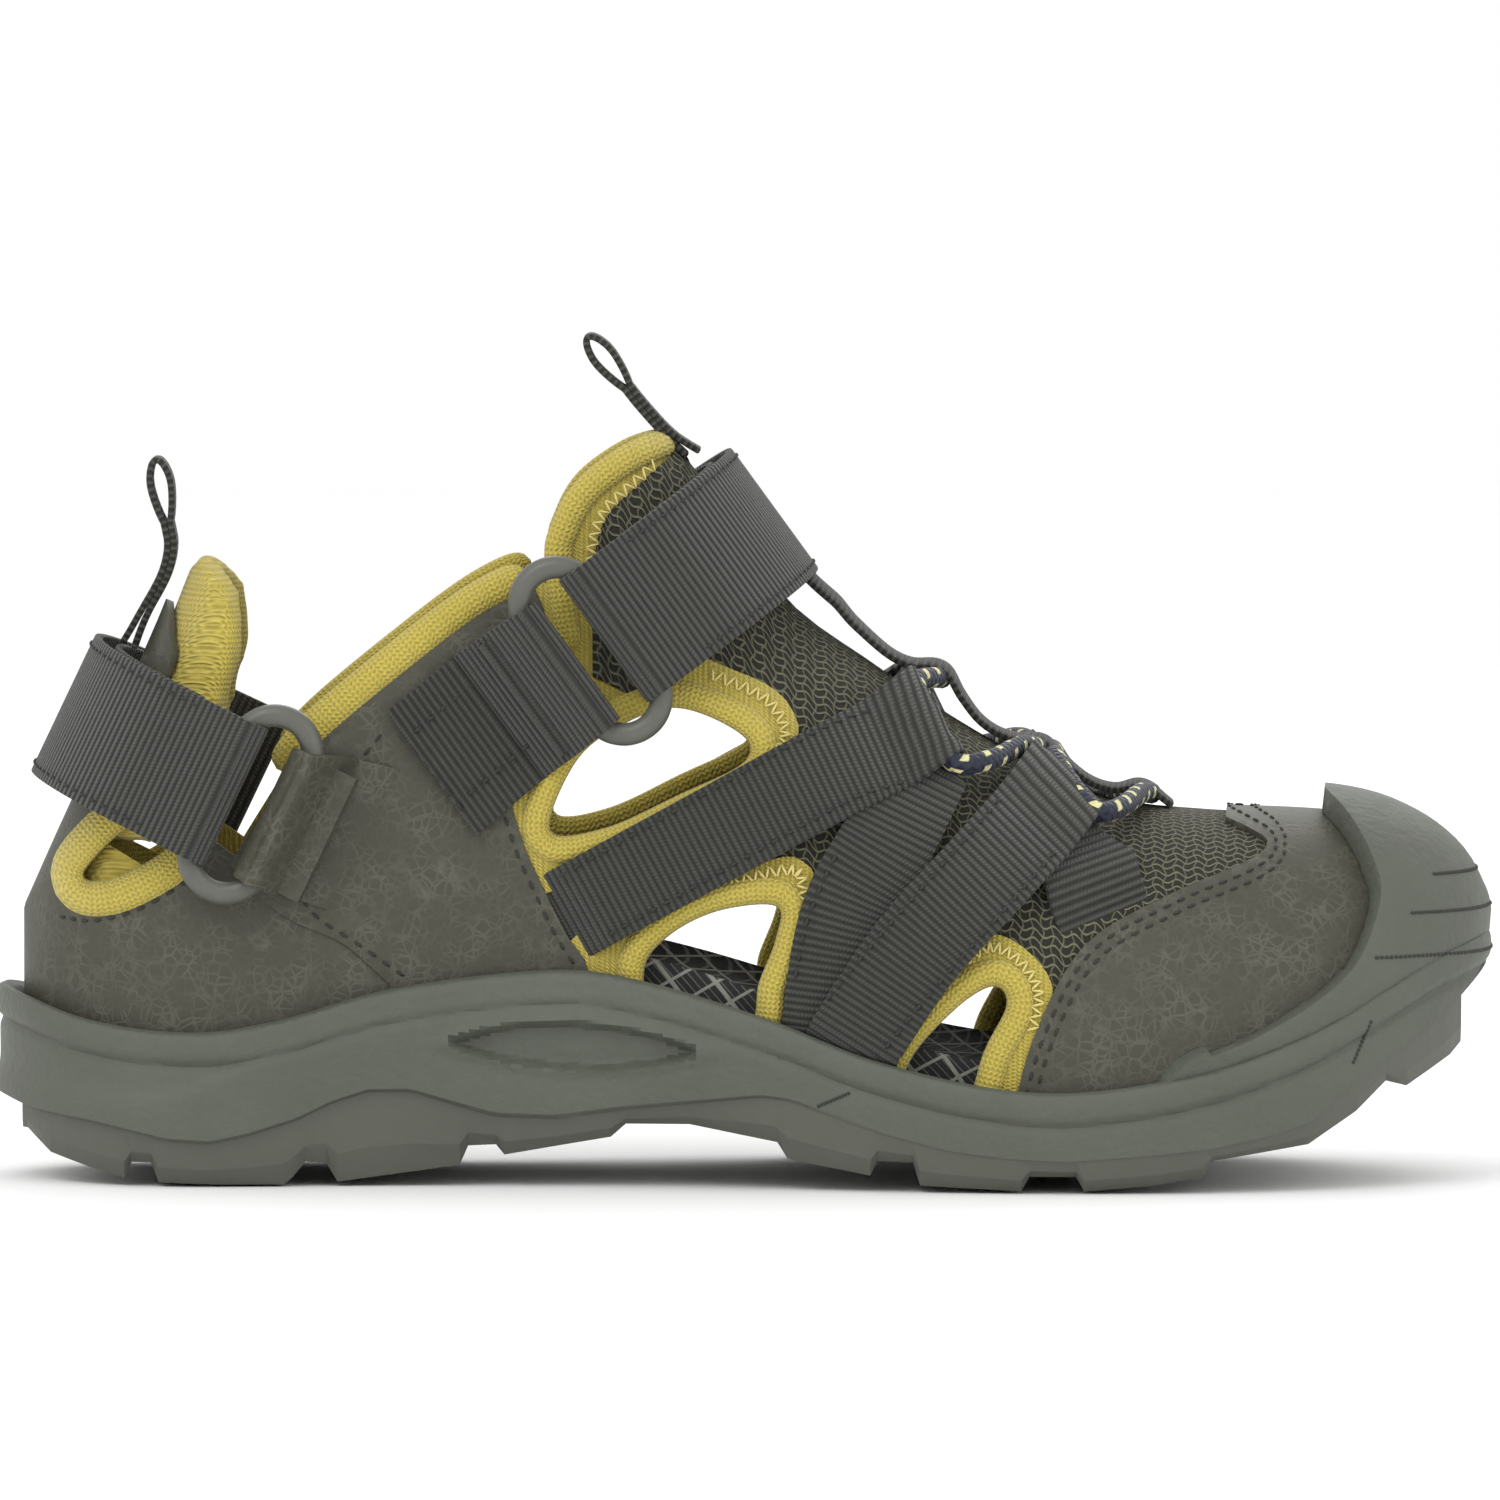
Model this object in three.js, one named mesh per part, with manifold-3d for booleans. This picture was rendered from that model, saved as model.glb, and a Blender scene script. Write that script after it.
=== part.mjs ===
// Strappy sport sandal, left foot: moulded sole with a toe bumper, mesh and synthetic leather
// upper with bound windows, webbing, an elastic lace and two ring-and-strap closures.
// Millimetres, +Z up, +X towards the toe, -Y the inner (medial) side, ground at Z = 0.
import * as THREE from 'three';
import { mergeVertices } from 'three/addons/utils/BufferGeometryUtils.js';
import Module from 'manifold-3d';

const wasm = await Module();
wasm.setup();

// ---------------------------------------------------------------- driving dimensions
const SHOE_LENGTH = 249;          // over the sole, heel to toe
const SHOE_WIDTH = 98;            // over the sole at the ball
const UPPER_HEIGHT = 142;         // ground to the top of the tongue loop
const PATTERN_LENGTH = 249;       // the size the patterns below are drawn at
const PATTERN_WIDTH = 98;
const PATTERN_HEIGHT = 142;

const FIT_GAP = 0.35;             // clearance between neighbouring pieces
const LAYER = 2.3;                // lined upper material
const LINING_LIFT = 0.3;          // upper stands this far off the last
const STIFFENER = 1.3;            // heel counter and toe puff board
const PAD_THICKNESS = 5;          // heel pad
const BINDING_WIDTH = 4.4;        // knitted binding round an opening
const COLLAR_BINDING = 3.4;
const WIDE_WEBBING = 25;
const NARROW_WEBBING = 15.6;
const WEBBING = 1.5;              // webbing thickness
const TAPE_WIDTH = 10;            // tape that holds the lace along the instep
const LACE = 3.5;                 // elastic cord diameter
const RING_BAR = 3.8;             // width of a ring's bars
const RING_THICKNESS = 3.4;
const RING_SLOT = 8.6;            // clear width inside a ring
const FOLD_CLEARANCE = 0.4;       // between a ring bar and the fold round it
const PATCH = 1;                  // hook and loop patch thickness
const PATCH_LENGTH = 20;
const LOOP_TAPE = 1.2;            // pull loop tape thickness
const LOOP_WIDTH = 9;
const LOOP_EYE = 3.6;             // clear width of a pull loop's eye
const SOLE_RIM = 6.2;             // sole outside the last, at the sides
const BUMPER = 5;                 // rubber thickness over the toe
const CAVITY_DEPTH = 6.5;         // footbed recess below the sole's rim
const BOARD = 1.4;                // strobel board
const FOOTBED = 3.6;
const FOOTBED_CUP = 5;            // raised edge of the footbed
const CENTRE_GROOVE = 7;          // lengthwise groove between the lugs
const CENTRE_GROOVE_DEPTH = 3.4;

const gradeX = SHOE_LENGTH / PATTERN_LENGTH;
const gradeY = SHOE_WIDTH / PATTERN_WIDTH;
const gradeZ = UPPER_HEIGHT / PATTERN_HEIGHT;
const MEDIAL = -1;
const LATERAL = 1;
const SIDES = [[MEDIAL, 'medial'], [LATERAL, 'lateral']];

// A smooth line through [along, value] points, read as a value at any place along it.
function smoothLine(points, alongScale, valueScale) {
  const along = points.map(([a]) => a * alongScale);
  const value = points.map(([, v]) => v * valueScale);
  const last = along.length - 1;
  const slope = value.map((_, i) => {
    const before = Math.max(i - 1, 0);
    const after = Math.min(i + 1, last);
    return (value[after] - value[before]) / (along[after] - along[before]);
  });
  return (a) => {
    let i = 0;
    while (i < last - 1 && a > along[i + 1]) i += 1;
    const span = along[i + 1] - along[i];
    const t = THREE.MathUtils.clamp((a - along[i]) / span, 0, 1);
    const ease = t * t * (3 - 2 * t);
    const bend = slope[i] * t * (1 - t) ** 2 - slope[i + 1] * t * t * (1 - t);
    return value[i] * (1 - ease) + value[i + 1] * ease + span * bend;
  };
}

// A line of straight stretches through the same kind of points, graded like the shoe's side view.
function straightLine(points) {
  return (x) => {
    const next = Math.max(points.findIndex(([place]) => place * gradeX > x), 1);
    const [xa, za] = points[next - 1];
    const [xb, zb] = points[next];
    const t = THREE.MathUtils.clamp((x / gradeX - xa) / (xb - xa), 0, 1);
    return (za + (zb - za) * t) * gradeZ;
  };
}

// ---------------------------------------------------------------- the last (the foot form)
const HEEL_END = -118.85 * gradeX;
const TOE_END = 116.7 * gradeX;
const HEEL_ROUND_START = -90 * gradeX;
const TOE_ROUND_START = 62 * gradeX;
const TOE_SQUARENESS = 2.5;
const SECTION_SQUARENESS = 2.5;
const FEATHER_DROP = 3;           // last's bottom edge below the sole's rim

const soleRimLine = smoothLine([[-124, 31.5], [-109, 26.7], [-91, 25], [-78, 27], [-59, 32.2], [-31, 35.4],
  [-17, 33.5], [3, 27.7], [20, 21.3], [40, 16.8], [55, 16.2], [75, 19.5], [92, 25.5], [105, 32.5], [115, 38], [127, 42]],
gradeX, gradeZ);
const partingStations = [[-130, 16], [-118, 12.1], [-109, 10.8], [-103, 9.5], [-96, 7.9], [-89, 7.5],
  [-83, 8.8], [-75, 11.3], [-69, 14.2], [-63, 16.1], [-56, 16.1], [-49, 14], [-42, 12], [-32, 11.7],
  [-20, 13.4], [-8, 14.7], [2, 15.8], [7, 15.2], [13, 13], [23, 9.8], [33, 7.3], [43, 6.1], [52, 5.7],
  [66, 6.7], [76, 7.8], [86, 9.8], [93, 12], [98, 16.6], [103, 20.5], [109, 24.3], [115, 28.6], [130, 43]];
const lastTopLine = smoothLine([[-118.85, 44], [-113.5, 56], [-107, 70], [-99, 86], [-92, 103], [-84, 125],
  [-72, 146], [-55, 152], [-38, 146], [-24, 130.5], [-9, 113], [5, 94.5], [19, 84], [34, 74], [50, 65],
  [60, 60.8], [75, 59], [95, 58], [102, 56.8], [107, 54.8], [111, 52.3], [114.2, 49], [116.7, 44]],
gradeX, gradeZ);
const planLines = {
  [MEDIAL]: smoothLine([[-125, 26], [-90, 27], [-60, 25.5], [-25, 27.5], [10, 36], [40, 41.5], [65, 42.33],
    [90, 40], [118, 36]], gradeX, gradeY),
  [LATERAL]: smoothLine([[-125, 26], [-90, 27], [-60, 27.5], [-25, 30], [10, 38.5], [35, 43], [60, 43],
    [90, 39], [118, 35]], gradeX, gradeY),
};

// Half the width of the last, or of a sole piece that is `grow` larger all round.
function halfWidth(side, x, grow = 0) {
  const heelSpan = HEEL_ROUND_START - HEEL_END + grow;
  const toeSpan = TOE_END + grow - TOE_ROUND_START;
  const heel = THREE.MathUtils.clamp((HEEL_ROUND_START - x) / heelSpan, 0, 1);
  const toe = THREE.MathUtils.clamp((x - TOE_ROUND_START) / toeSpan, 0, 1);
  const heelRound = Math.sqrt(1 - heel ** 2);
  const toeRound = (1 - toe ** TOE_SQUARENESS) ** (1 / TOE_SQUARENESS);
  return (planLines[side](x) + grow) * heelRound * toeRound;
}

// A point of the last's surface: `u` runs heel to toe from 0 to 1, `angle` runs from -90 degrees
// at the inner edge over the top to +90 degrees at the outer edge.
function lastSurface(u, angle) {
  const x = HEEL_END + (TOE_END - HEEL_END) * (1 - Math.cos(Math.PI * u)) / 2;
  const side = angle < 0 ? MEDIAL : LATERAL;
  const bottom = soleRimLine(x) - FEATHER_DROP;
  const rise = Math.max(Math.cos(angle), 0) ** (2 / SECTION_SQUARENESS);
  const y = halfWidth(side, x) * Math.sin(angle);
  return new THREE.Vector3(x, y, bottom + (lastTopLine(x) - bottom) * rise);
}

function lastNormal(u, angle) {
  if (u === 0 || u === 1) return new THREE.Vector3(2 * u - 1, 0, 0);
  const step = 0.004;
  const edge = Math.PI / 2 - step;
  const a = THREE.MathUtils.clamp(angle, -edge, edge);
  const alongU = lastSurface(Math.min(u + step, 1), a).sub(lastSurface(Math.max(u - step, 0), a));
  const across = lastSurface(u, a + step).sub(lastSurface(u, a - step));
  return alongU.cross(across).normalize();
}

function liftedPoint(u, angle, lift) {
  return lastSurface(u, angle).addScaledVector(lastNormal(u, angle), lift);
}

function uAt(x) {
  return Math.acos(1 - 2 * (x - HEEL_END) / (TOE_END - HEEL_END)) / Math.PI;
}

// ---------------------------------------------------------------- solids
function toSolid(geometry) {
  geometry.deleteAttribute('normal');
  geometry.deleteAttribute('uv');
  const merged = mergeVertices(geometry, 0.001);
  const source = merged.index.array;
  const triangles = [];
  for (let i = 0; i < source.length; i += 3) {
    const [a, b, c] = [source[i], source[i + 1], source[i + 2]];
    if (a !== b && b !== c && c !== a) triangles.push(a, b, c);
  }
  const mesh = new wasm.Mesh({
    numProp: 3,
    vertProperties: new Float32Array(merged.attributes.position.array),
    triVerts: new Uint32Array(triangles),
  });
  return new wasm.Manifold(mesh);
}

function toGeometry(solid) {
  const mesh = solid.getMesh();
  const geometry = new THREE.BufferGeometry();
  geometry.setAttribute('position', new THREE.BufferAttribute(new Float32Array(mesh.vertProperties), 3));
  geometry.setIndex(new THREE.BufferAttribute(new Uint32Array(mesh.triVerts), 1));
  geometry.computeVertexNormals();
  return geometry;
}

function fromPoints(points, faces) {
  const geometry = new THREE.BufferGeometry().setFromPoints(points);
  geometry.setIndex(faces);
  return geometry;
}

// A solid through rings of points that all have the same count, closed at both ends.
function loft(rings) {
  const count = rings[0].length;
  const faces = [];
  for (let r = 0; r < rings.length - 1; r += 1) {
    for (let i = 0; i < count; i += 1) {
      const a = r * count + i;
      const b = r * count + (i + 1) % count;
      faces.push(a, b, b + count, a, b + count, a + count);
    }
  }
  const flat = (ring) => ring.map((p) => new THREE.Vector2(p.y, p.z));
  const end = (rings.length - 1) * count;
  for (const [a, b, c] of THREE.ShapeUtils.triangulateShape(flat(rings[0]), [])) {
    faces.push(c, b, a);
  }
  for (const [a, b, c] of THREE.ShapeUtils.triangulateShape(flat(rings[rings.length - 1]), [])) {
    faces.push(end + a, end + b, end + c);
  }
  return toSolid(fromPoints(rings.flat(), faces));
}

const U_STEPS = 28;
const ANGLE_STEPS = 18;
const SKIRT = 6;                  // an inner form reaches below an outer one, so a shell has no floor
const lastForms = new Map();

// The last grown by `lift`, as one closed solid.
function lastForm(lift, skirt = 0) {
  const key = `${lift}/${skirt}`;
  if (lastForms.has(key)) return lastForms.get(key);
  const points = [];
  for (let i = 0; i <= U_STEPS; i += 1) {
    for (let j = 0; j <= ANGLE_STEPS; j += 1) {
      const angle = Math.PI * (j / ANGLE_STEPS - 0.5);
      points.push(liftedPoint(i / U_STEPS, angle, lift));
    }
    for (const angle of [Math.PI / 2, -Math.PI / 2]) {
      const foot = liftedPoint(i / U_STEPS, angle, lift);
      foot.z -= 1 + skirt;
      points.push(foot);
    }
  }
  const row = ANGLE_STEPS + 3;
  const faces = [];
  for (let i = 0; i < U_STEPS; i += 1) {
    for (let j = 0; j < row; j += 1) {
      const a = i * row + j;
      const b = i * row + (j + 1) % row;
      faces.push(a, b + row, b, a, a + row, b + row);
    }
  }
  const form = toSolid(fromPoints(points, faces));
  lastForms.set(key, form);
  return form;
}

function shell(inner, outer) {
  return lastForm(outer).subtract(lastForm(inner, SKIRT));
}

// ---------------------------------------------------------------- side-view patterns
function graded(points) {
  return points.map(([x, z]) => new THREE.Vector2(x * gradeX, z * gradeZ));
}

function signedArea(points) {
  return THREE.ShapeUtils.area(points);
}

// The same outline moved outwards by a distance, with mitred corners.
function grow(points, distance) {
  const turn = Math.sign(signedArea(points));
  const count = points.length;
  return points.map((p, i) => {
    const back = p.clone().sub(points[(i + count - 1) % count]).normalize();
    const ahead = points[(i + 1) % count].clone().sub(p).normalize();
    const normalA = new THREE.Vector2(back.y, -back.x);
    const normalB = new THREE.Vector2(ahead.y, -ahead.x);
    const mitre = normalA.clone().add(normalB).normalize();
    const reach = distance * turn / Math.max(mitre.dot(normalA), 0.5);
    return p.clone().addScaledVector(mitre, reach);
  });
}

// A smooth closed outline through a few points.
function rounded(points, samples = 16) {
  const curve = new THREE.CatmullRomCurve3(points.map((p) => new THREE.Vector3(p.x, p.y, 0)), true);
  return curve.getPoints(samples).slice(0, -1).map((p) => new THREE.Vector2(p.x, p.y));
}

// A smooth open line through a few points.
function smoothPath(points, samples = 8) {
  const curve = new THREE.SplineCurve(points);
  return curve.getPoints(samples);
}

// A strip of one width that follows a line; `shift` moves it to one side.
function strip(line, width, shift = 0) {
  const edge = (offset) => line.map((p, i) => {
    const ahead = line[Math.min(i + 1, line.length - 1)];
    const behind = line[Math.max(i - 1, 0)];
    const along = ahead.clone().sub(behind).normalize();
    return new THREE.Vector2(p.x - along.y * offset, p.y + along.x * offset);
  });
  return [...edge(shift - width / 2), ...edge(shift + width / 2).reverse()];
}

// The solid that a side-view outline sweeps across one side of the shoe, or across both.
function across(outline, side = 0) {
  const reach = SHOE_WIDTH;
  const depth = side === 0 ? 2 * reach : reach;
  const shape = new THREE.Shape(signedArea(outline) > 0 ? outline : [...outline].reverse());
  const geometry = new THREE.ExtrudeGeometry(shape, { depth, bevelEnabled: false });
  geometry.rotateX(Math.PI / 2);
  geometry.translate(0, side === MEDIAL ? 0 : reach, 0);
  return toSolid(geometry);
}

function box(xFrom, xTo, yFrom, yTo, zFrom, zTo) {
  const geometry = new THREE.BoxGeometry(xTo - xFrom, yTo - yFrom, zTo - zFrom);
  geometry.translate((xFrom + xTo) / 2, (yFrom + yTo) / 2, (zFrom + zTo) / 2);
  return toSolid(geometry);
}

// Everything at or above the sole's rim, for trimming the upper's bottom edges.
const ABOVE = 400;
function aboveRim() {
  const steps = 72;
  const from = HEEL_END - 2 * SOLE_RIM;
  const to = TOE_END + 2 * SOLE_RIM;
  const line = [];
  for (let i = 0; i <= steps; i += 1) {
    const x = from + (to - from) * i / steps;
    line.push(new THREE.Vector2(x, soleRimLine(x) + FIT_GAP));
  }
  return across([...line, new THREE.Vector2(to, ABOVE), new THREE.Vector2(from, ABOVE)]);
}
const upperSpace = aboveRim();

// One flat pattern laid on the last between two lifts.
function panel(inner, outer, outline, side = 0) {
  return shell(inner, outer).intersect(across(outline, side)).intersect(upperSpace);
}

// ---------------------------------------------------------------- upper patterns
const windowLines = [
  [[-110.5, 50.5], [-105, 50.5], [-96, 56], [-98, 60.5], [-104.5, 57.5]],
  [[-33, 58.5], [-24, 59], [-12, 64.5], [-1, 70], [-1.5, 74.5], [-12, 78.8], [-22, 75.5], [-29, 69.5]],
  [[-15, 29], [-1, 26], [1.5, 34], [4.2, 41], [4.4, 46.4], [-5, 45.6], [-13, 41.6], [-17.4, 36]],
  [[25, 13], [34, 11], [38.5, 23], [42.2, 30.6], [40, 33.6], [34, 30], [26.5, 21.5]],
];
const windowNames = ['heel', 'instep', 'arch', 'forefoot'];
const windowHoles = windowLines.map((points) => rounded(graded(points)));
const windowBindings = windowHoles.map((hole) => grow(hole, BINDING_WIDTH));
const windowCuts = windowHoles.map((hole) => grow(hole, BINDING_WIDTH + FIT_GAP));

const collarLine = smoothPath(graded([[-77, 67.5], [-70.5, 74.5], [-58.5, 84.5], [-46, 94], [-36, 99.5]]));
const quarterOutline = [...collarLine, ...graded([[-27, 95], [-16, 86], [-10, 86.5], [-10, 78], [-25, 36],
  [-26, 20], [-60, 20], [-59, 33], [-67.2, 39.8], [-75.4, 43.5], [-82, 48.3], [-86, 53]])];
const heelOutline = graded([[-130, 20], [-58, 20], [-60, 32], [-68, 39], [-76, 42.8], [-84, 48], [-91, 53.5],
  [-93, 57], [-101, 57], [-107, 66], [-100.5, 78], [-95, 89], [-104, 94], [-130, 60]]);
const padOutline = graded([[-120, 57], [-98, 57], [-92, 63], [-88, 78], [-85, 90], [-87, 98], [-92, 103.2],
  [-97, 101], [-112, 84]]);
const toeCapEdge = smoothPath(graded([[42.5, 12], [46.8, 25.7], [55, 40.2], [68.9, 48.2], [82.3, 53.5],
  [85.5, 56.5], [80, 59]]));
const toeCapOutline = [...toeCapEdge, ...graded([[80, 75], [140, 75], [140, 10]])];
const tongueSeam = graded([[2, 130], [-6, 100], [-16, 88]]);
const vampOutline = [...tongueSeam, ...graded([[-24, 60], [-26, 20], [46, 14], [90, 40], [90, 80], [30, 110]])];
const tongueOutline = graded([[1, 130], [-6.6, 101], [-16.6, 89], [-28, 92], [-29.5, 101], [-27.5, 107],
  [-23.5, 113], [-17, 117.5], [-9, 119.5]]);
const tongueRim = smoothPath(graded([[-31.5, 92.5], [-32.4, 102.8], [-31.3, 108.2], [-27.7, 114.5],
  [-20.7, 119.6], [-9, 123.4]]));

const rearLeg = smoothPath(graded([[-30.8, 44.2], [10.9, 68], [31, 75]]));
const rearReturn = smoothPath(graded([[31, 70], [23, 58], [15.5, 43], [11.5, 22]]));
const frontLeg = smoothPath(graded([[13, 20], [26, 38], [40, 53.5], [52, 64.5]]));
const frontReturn = smoothPath(graded([[52, 61], [56.5, 52], [59, 45.5]]));
const ringTabLine = graded([[-51.5, 69], [-34, 84]]);

const LAYER_TOP = LINING_LIFT + LAYER;
const WEBBING_LIFT = LAYER_TOP + FIT_GAP;
const OVER_WEBBING_LIFT = WEBBING_LIFT + WEBBING + FIT_GAP;
const TOP_LIFT = OVER_WEBBING_LIFT + WEBBING + FIT_GAP;

// ---------------------------------------------------------------- sole
// A sole slab between two height lines, with its side wall drawn in by `tuck` at the bottom.
function soleSlab({ size, bottom, top, tuck = 0, cup = 0, from = null, to = null, stations = 38, steps = [] }) {
  const start = from ?? HEEL_END - size + 0.4;
  const finish = to ?? TOE_END + size - 0.4;
  const places = [...steps];
  for (let i = 0; i <= stations; i += 1) {
    places.push(start + (finish - start) * (1 - Math.cos(Math.PI * i / stations)) / 2);
  }
  const ordered = places.filter((x) => x >= start && x <= finish).sort((a, b) => a - b);
  const rings = ordered.filter((x, i) => i === 0 || x - ordered[i - 1] > 0.2).map((x) => {
    const low = bottom(x);
    const high = top(x);
    const wide = (side, inset) => side * Math.max(halfWidth(side, x, size) - inset, 0.6);
    const ring = [[MEDIAL, tuck, low], [LATERAL, tuck, low], [LATERAL, tuck * 0.3, low + (high - low) * 0.35],
      [LATERAL, 0, high]];
    if (cup > 0) ring.push([LATERAL, 0, high + cup], [LATERAL, cup * 0.5, high + cup], [LATERAL, cup, high],
      [MEDIAL, cup, high], [MEDIAL, cup * 0.5, high + cup], [MEDIAL, 0, high + cup]);
    ring.push([MEDIAL, 0, high], [MEDIAL, tuck * 0.3, low + (high - low) * 0.35]);
    return ring.map(([side, inset, z]) => new THREE.Vector3(x, wide(side, inset), z));
  });
  return loft(rings);
}

const lugStations = [[-120, 8.3], [-116, 4.6], [-109, 2.4], [-103.5, 0.9], [-102.3, 3.6], [-99, 3.6],
  [-97.8, 0.3], [-88, 0], [-77, 0], [-75.6, 1.2], [-73.5, 3.8], [-70, 3.4], [-68.2, 0.4], [-48, 3.2],
  [-46.6, 6.4], [-42, 6.6], [-40.6, 4.9], [-23, 8], [-20.5, 10.2], [-10, 10.3], [4.5, 7.6], [6.2, 4.9],
  [19.8, 2.3], [21, 4.8], [26.8, 4.6], [28, 0.8], [44.6, 0], [46, 2.4], [53.6, 2.4], [55, 0], [66, 0.9],
  [74.6, 2.3], [76, 4.9], [92, 7.4], [100, 12.6], [105, 17.4], [108.5, 16.4], [116, 21], [123, 28.5]];

const treadLine = straightLine(lugStations);
const partingLine = straightLine(partingStations);
const partingPlaces = partingStations.slice(1, -1).map(([place]) => place * gradeX);

function outsole() {
  const slab = soleSlab({
    size: SOLE_RIM - 0.4,
    bottom: treadLine,
    top: (x) => Math.max(partingLine(x) - FIT_GAP, treadLine(x) + 2),
    tuck: 3.2,
    from: HEEL_END - 2,
    to: TOE_END + 3,
    stations: 18,
    steps: [...partingPlaces, ...lugStations.map(([place]) => place * gradeX)],
  });
  const groove = box(-72 * gradeX, 70 * gradeX, -CENTRE_GROOVE / 2, CENTRE_GROOVE / 2, -1,
    CENTRE_GROOVE_DEPTH);
  return slab.subtract(groove);
}

// Midsole with a recess in its top for the board and the footbed.
function midsole() {
  const slab = soleSlab({
    size: SOLE_RIM,
    bottom: partingLine,
    top: (x) => Math.max(soleRimLine(x), partingLine(x) + 1.5),
    tuck: 1.2,
    stations: 26,
    steps: partingPlaces,
  });
  const recess = soleSlab({
    size: -1,
    bottom: (x) => soleRimLine(x) - CAVITY_DEPTH,
    top: (x) => soleRimLine(x) + CAVITY_DEPTH,
    stations: 26,
  });
  return slab.subtract(recess);
}

// Rubber bumper that stands on the sole's rim and wraps the toe.
function toeBumper() {
  const edge = smoothPath(graded([[66, 14], [71.3, 20.6], [82.3, 24.5], [93.5, 31.2], [100.5, 38],
    [104.2, 48.2], [101.7, 54.9], [96.5, 61]]));
  const outline = [...edge, ...graded([[96.5, 80], [140, 80], [140, 12]])];
  return panel(LAYER_TOP + FIT_GAP, LAYER_TOP + FIT_GAP + BUMPER, outline);
}

function strobelBoard() {
  const low = (x) => soleRimLine(x) - CAVITY_DEPTH + FIT_GAP;
  return soleSlab({ size: -1 - FIT_GAP, bottom: low, top: (x) => low(x) + BOARD, stations: 30 });
}

function footbed() {
  const low = (x) => soleRimLine(x) - CAVITY_DEPTH + BOARD + 2 * FIT_GAP;
  return soleSlab({
    size: -2.4, bottom: low, top: (x) => low(x) + FOOTBED, cup: FOOTBED_CUP, stations: 30,
  });
}

// ---------------------------------------------------------------- upper
function toSubtract(solid, outlines, side = 0) {
  return outlines.reduce((left, outline) => left.subtract(across(outline, side)), solid);
}

function heelOverlay() {
  return toSubtract(panel(LINING_LIFT, LAYER_TOP, heelOutline), [windowCuts[0]]);
}

function heelStiffener() {
  const outline = graded([[-130, 34], [-80, 34], [-84, 44], [-96, 50], [-107, 56], [-130, 56]]);
  return panel(LINING_LIFT - FIT_GAP - STIFFENER, LINING_LIFT - FIT_GAP, outline);
}

function toeStiffener() {
  const outline = graded([[88, 30], [88, 50], [94, 62], [140, 62], [140, 30]]);
  return panel(LINING_LIFT - FIT_GAP - STIFFENER, LINING_LIFT - FIT_GAP, outline);
}

function heelPad() {
  return panel(LINING_LIFT - FIT_GAP - PAD_THICKNESS, LINING_LIFT - FIT_GAP, padOutline);
}

function windowBinding(index, side) {
  const band = panel(LINING_LIFT, LAYER_TOP, windowBindings[index], side);
  return band.subtract(across(windowHoles[index], side));
}

function quarter(side) {
  const base = panel(LINING_LIFT, LAYER_TOP, quarterOutline, side);
  return toSubtract(base, [windowCuts[1], windowCuts[2]], side);
}

function collarBinding(side) {
  const band = strip(collarLine, COLLAR_BINDING, COLLAR_BINDING / 2 + FIT_GAP);
  return panel(LINING_LIFT, LAYER_TOP, band, side);
}

function vampMesh() {
  const cuts = [grow(quarterOutline, FIT_GAP), ...windowCuts.slice(1), grow(toeCapOutline, FIT_GAP)];
  return toSubtract(panel(LINING_LIFT, LAYER_TOP, vampOutline), cuts);
}

function tongueBody() {
  const cuts = [grow(quarterOutline, FIT_GAP), strip(tongueRim, COLLAR_BINDING + 2 * FIT_GAP)];
  return toSubtract(panel(LINING_LIFT, LAYER_TOP, tongueOutline), cuts);
}

function tongueBinding() {
  const bound = panel(LINING_LIFT, LAYER_TOP, strip(tongueRim, COLLAR_BINDING));
  return toSubtract(bound, [grow(quarterOutline, FIT_GAP), strip(collarLine, 3 * COLLAR_BINDING)]);
}

function toeCap() {
  return panel(LINING_LIFT, LAYER_TOP, toeCapOutline);
}

function clearOfTape(solid) {
  const half = TAPE_WIDTH / 2 + FIT_GAP;
  return solid.subtract(box(-40 * gradeX, 90 * gradeX, -half, half, 40 * gradeZ, ABOVE));
}

function webbingFold(legs, lift, side) {
  const solids = legs.map((line) => panel(lift, lift + WEBBING, strip(line, NARROW_WEBBING), side));
  return clearOfTape(solids[0].add(solids[1]));
}

function laceTape() {
  const half = TAPE_WIDTH / 2;
  const run = box(10 * gradeX, 69 * gradeX, -half, half, 50 * gradeZ, ABOVE);
  return shell(WEBBING_LIFT, WEBBING_LIFT + WEBBING).intersect(run);
}

// Elastic lace: it turns at the tape and at each webbing fold. Places are [x, degrees round from
// the ridge]; the medial run goes forward, the lateral run comes back.
const laceTurns = [[24, 5], [31, 27], [39, 30], [46, 14], [48, 7.5], [52, 14], [57.5, 26], [63, 20], [67, 8]];
function elasticLace() {
  const lift = TOP_LIFT + LACE / 2;
  const place = (side) => ([x, degrees]) => liftedPoint(uAt(x * gradeX), side * degrees * Math.PI / 180, lift);
  const medialRun = laceTurns.map(place(MEDIAL));
  const lateralRun = laceTurns.map(place(LATERAL)).reverse();
  const route = new THREE.CatmullRomCurve3([...medialRun, ...lateralRun], false, 'centripetal');
  const section = new THREE.Shape().absarc(0, 0, LACE / 2, 0, 2 * Math.PI);
  return toSolid(new THREE.ExtrudeGeometry(section, { extrudePath: route, steps: 44, curveSegments: 4 }));
}

// ---------------------------------------------------------------- rings and straps
// A strap closure lies in a tilted plane: `wide` is the webbing's width, `rise` runs from the ring
// towards the top (or back) of the shoe.
function closureFrame(x, z, patternTilt) {
  const tilt = Math.atan2(Math.sin(patternTilt) * gradeZ, Math.cos(patternTilt) * gradeX);
  const wide = new THREE.Vector3(Math.cos(tilt), 0, Math.sin(tilt));
  const rise = new THREE.Vector3(-Math.sin(tilt), 0, Math.cos(tilt));
  return { centre: new THREE.Vector3(x * gradeX, 0, z * gradeZ), wide, rise };
}

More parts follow.
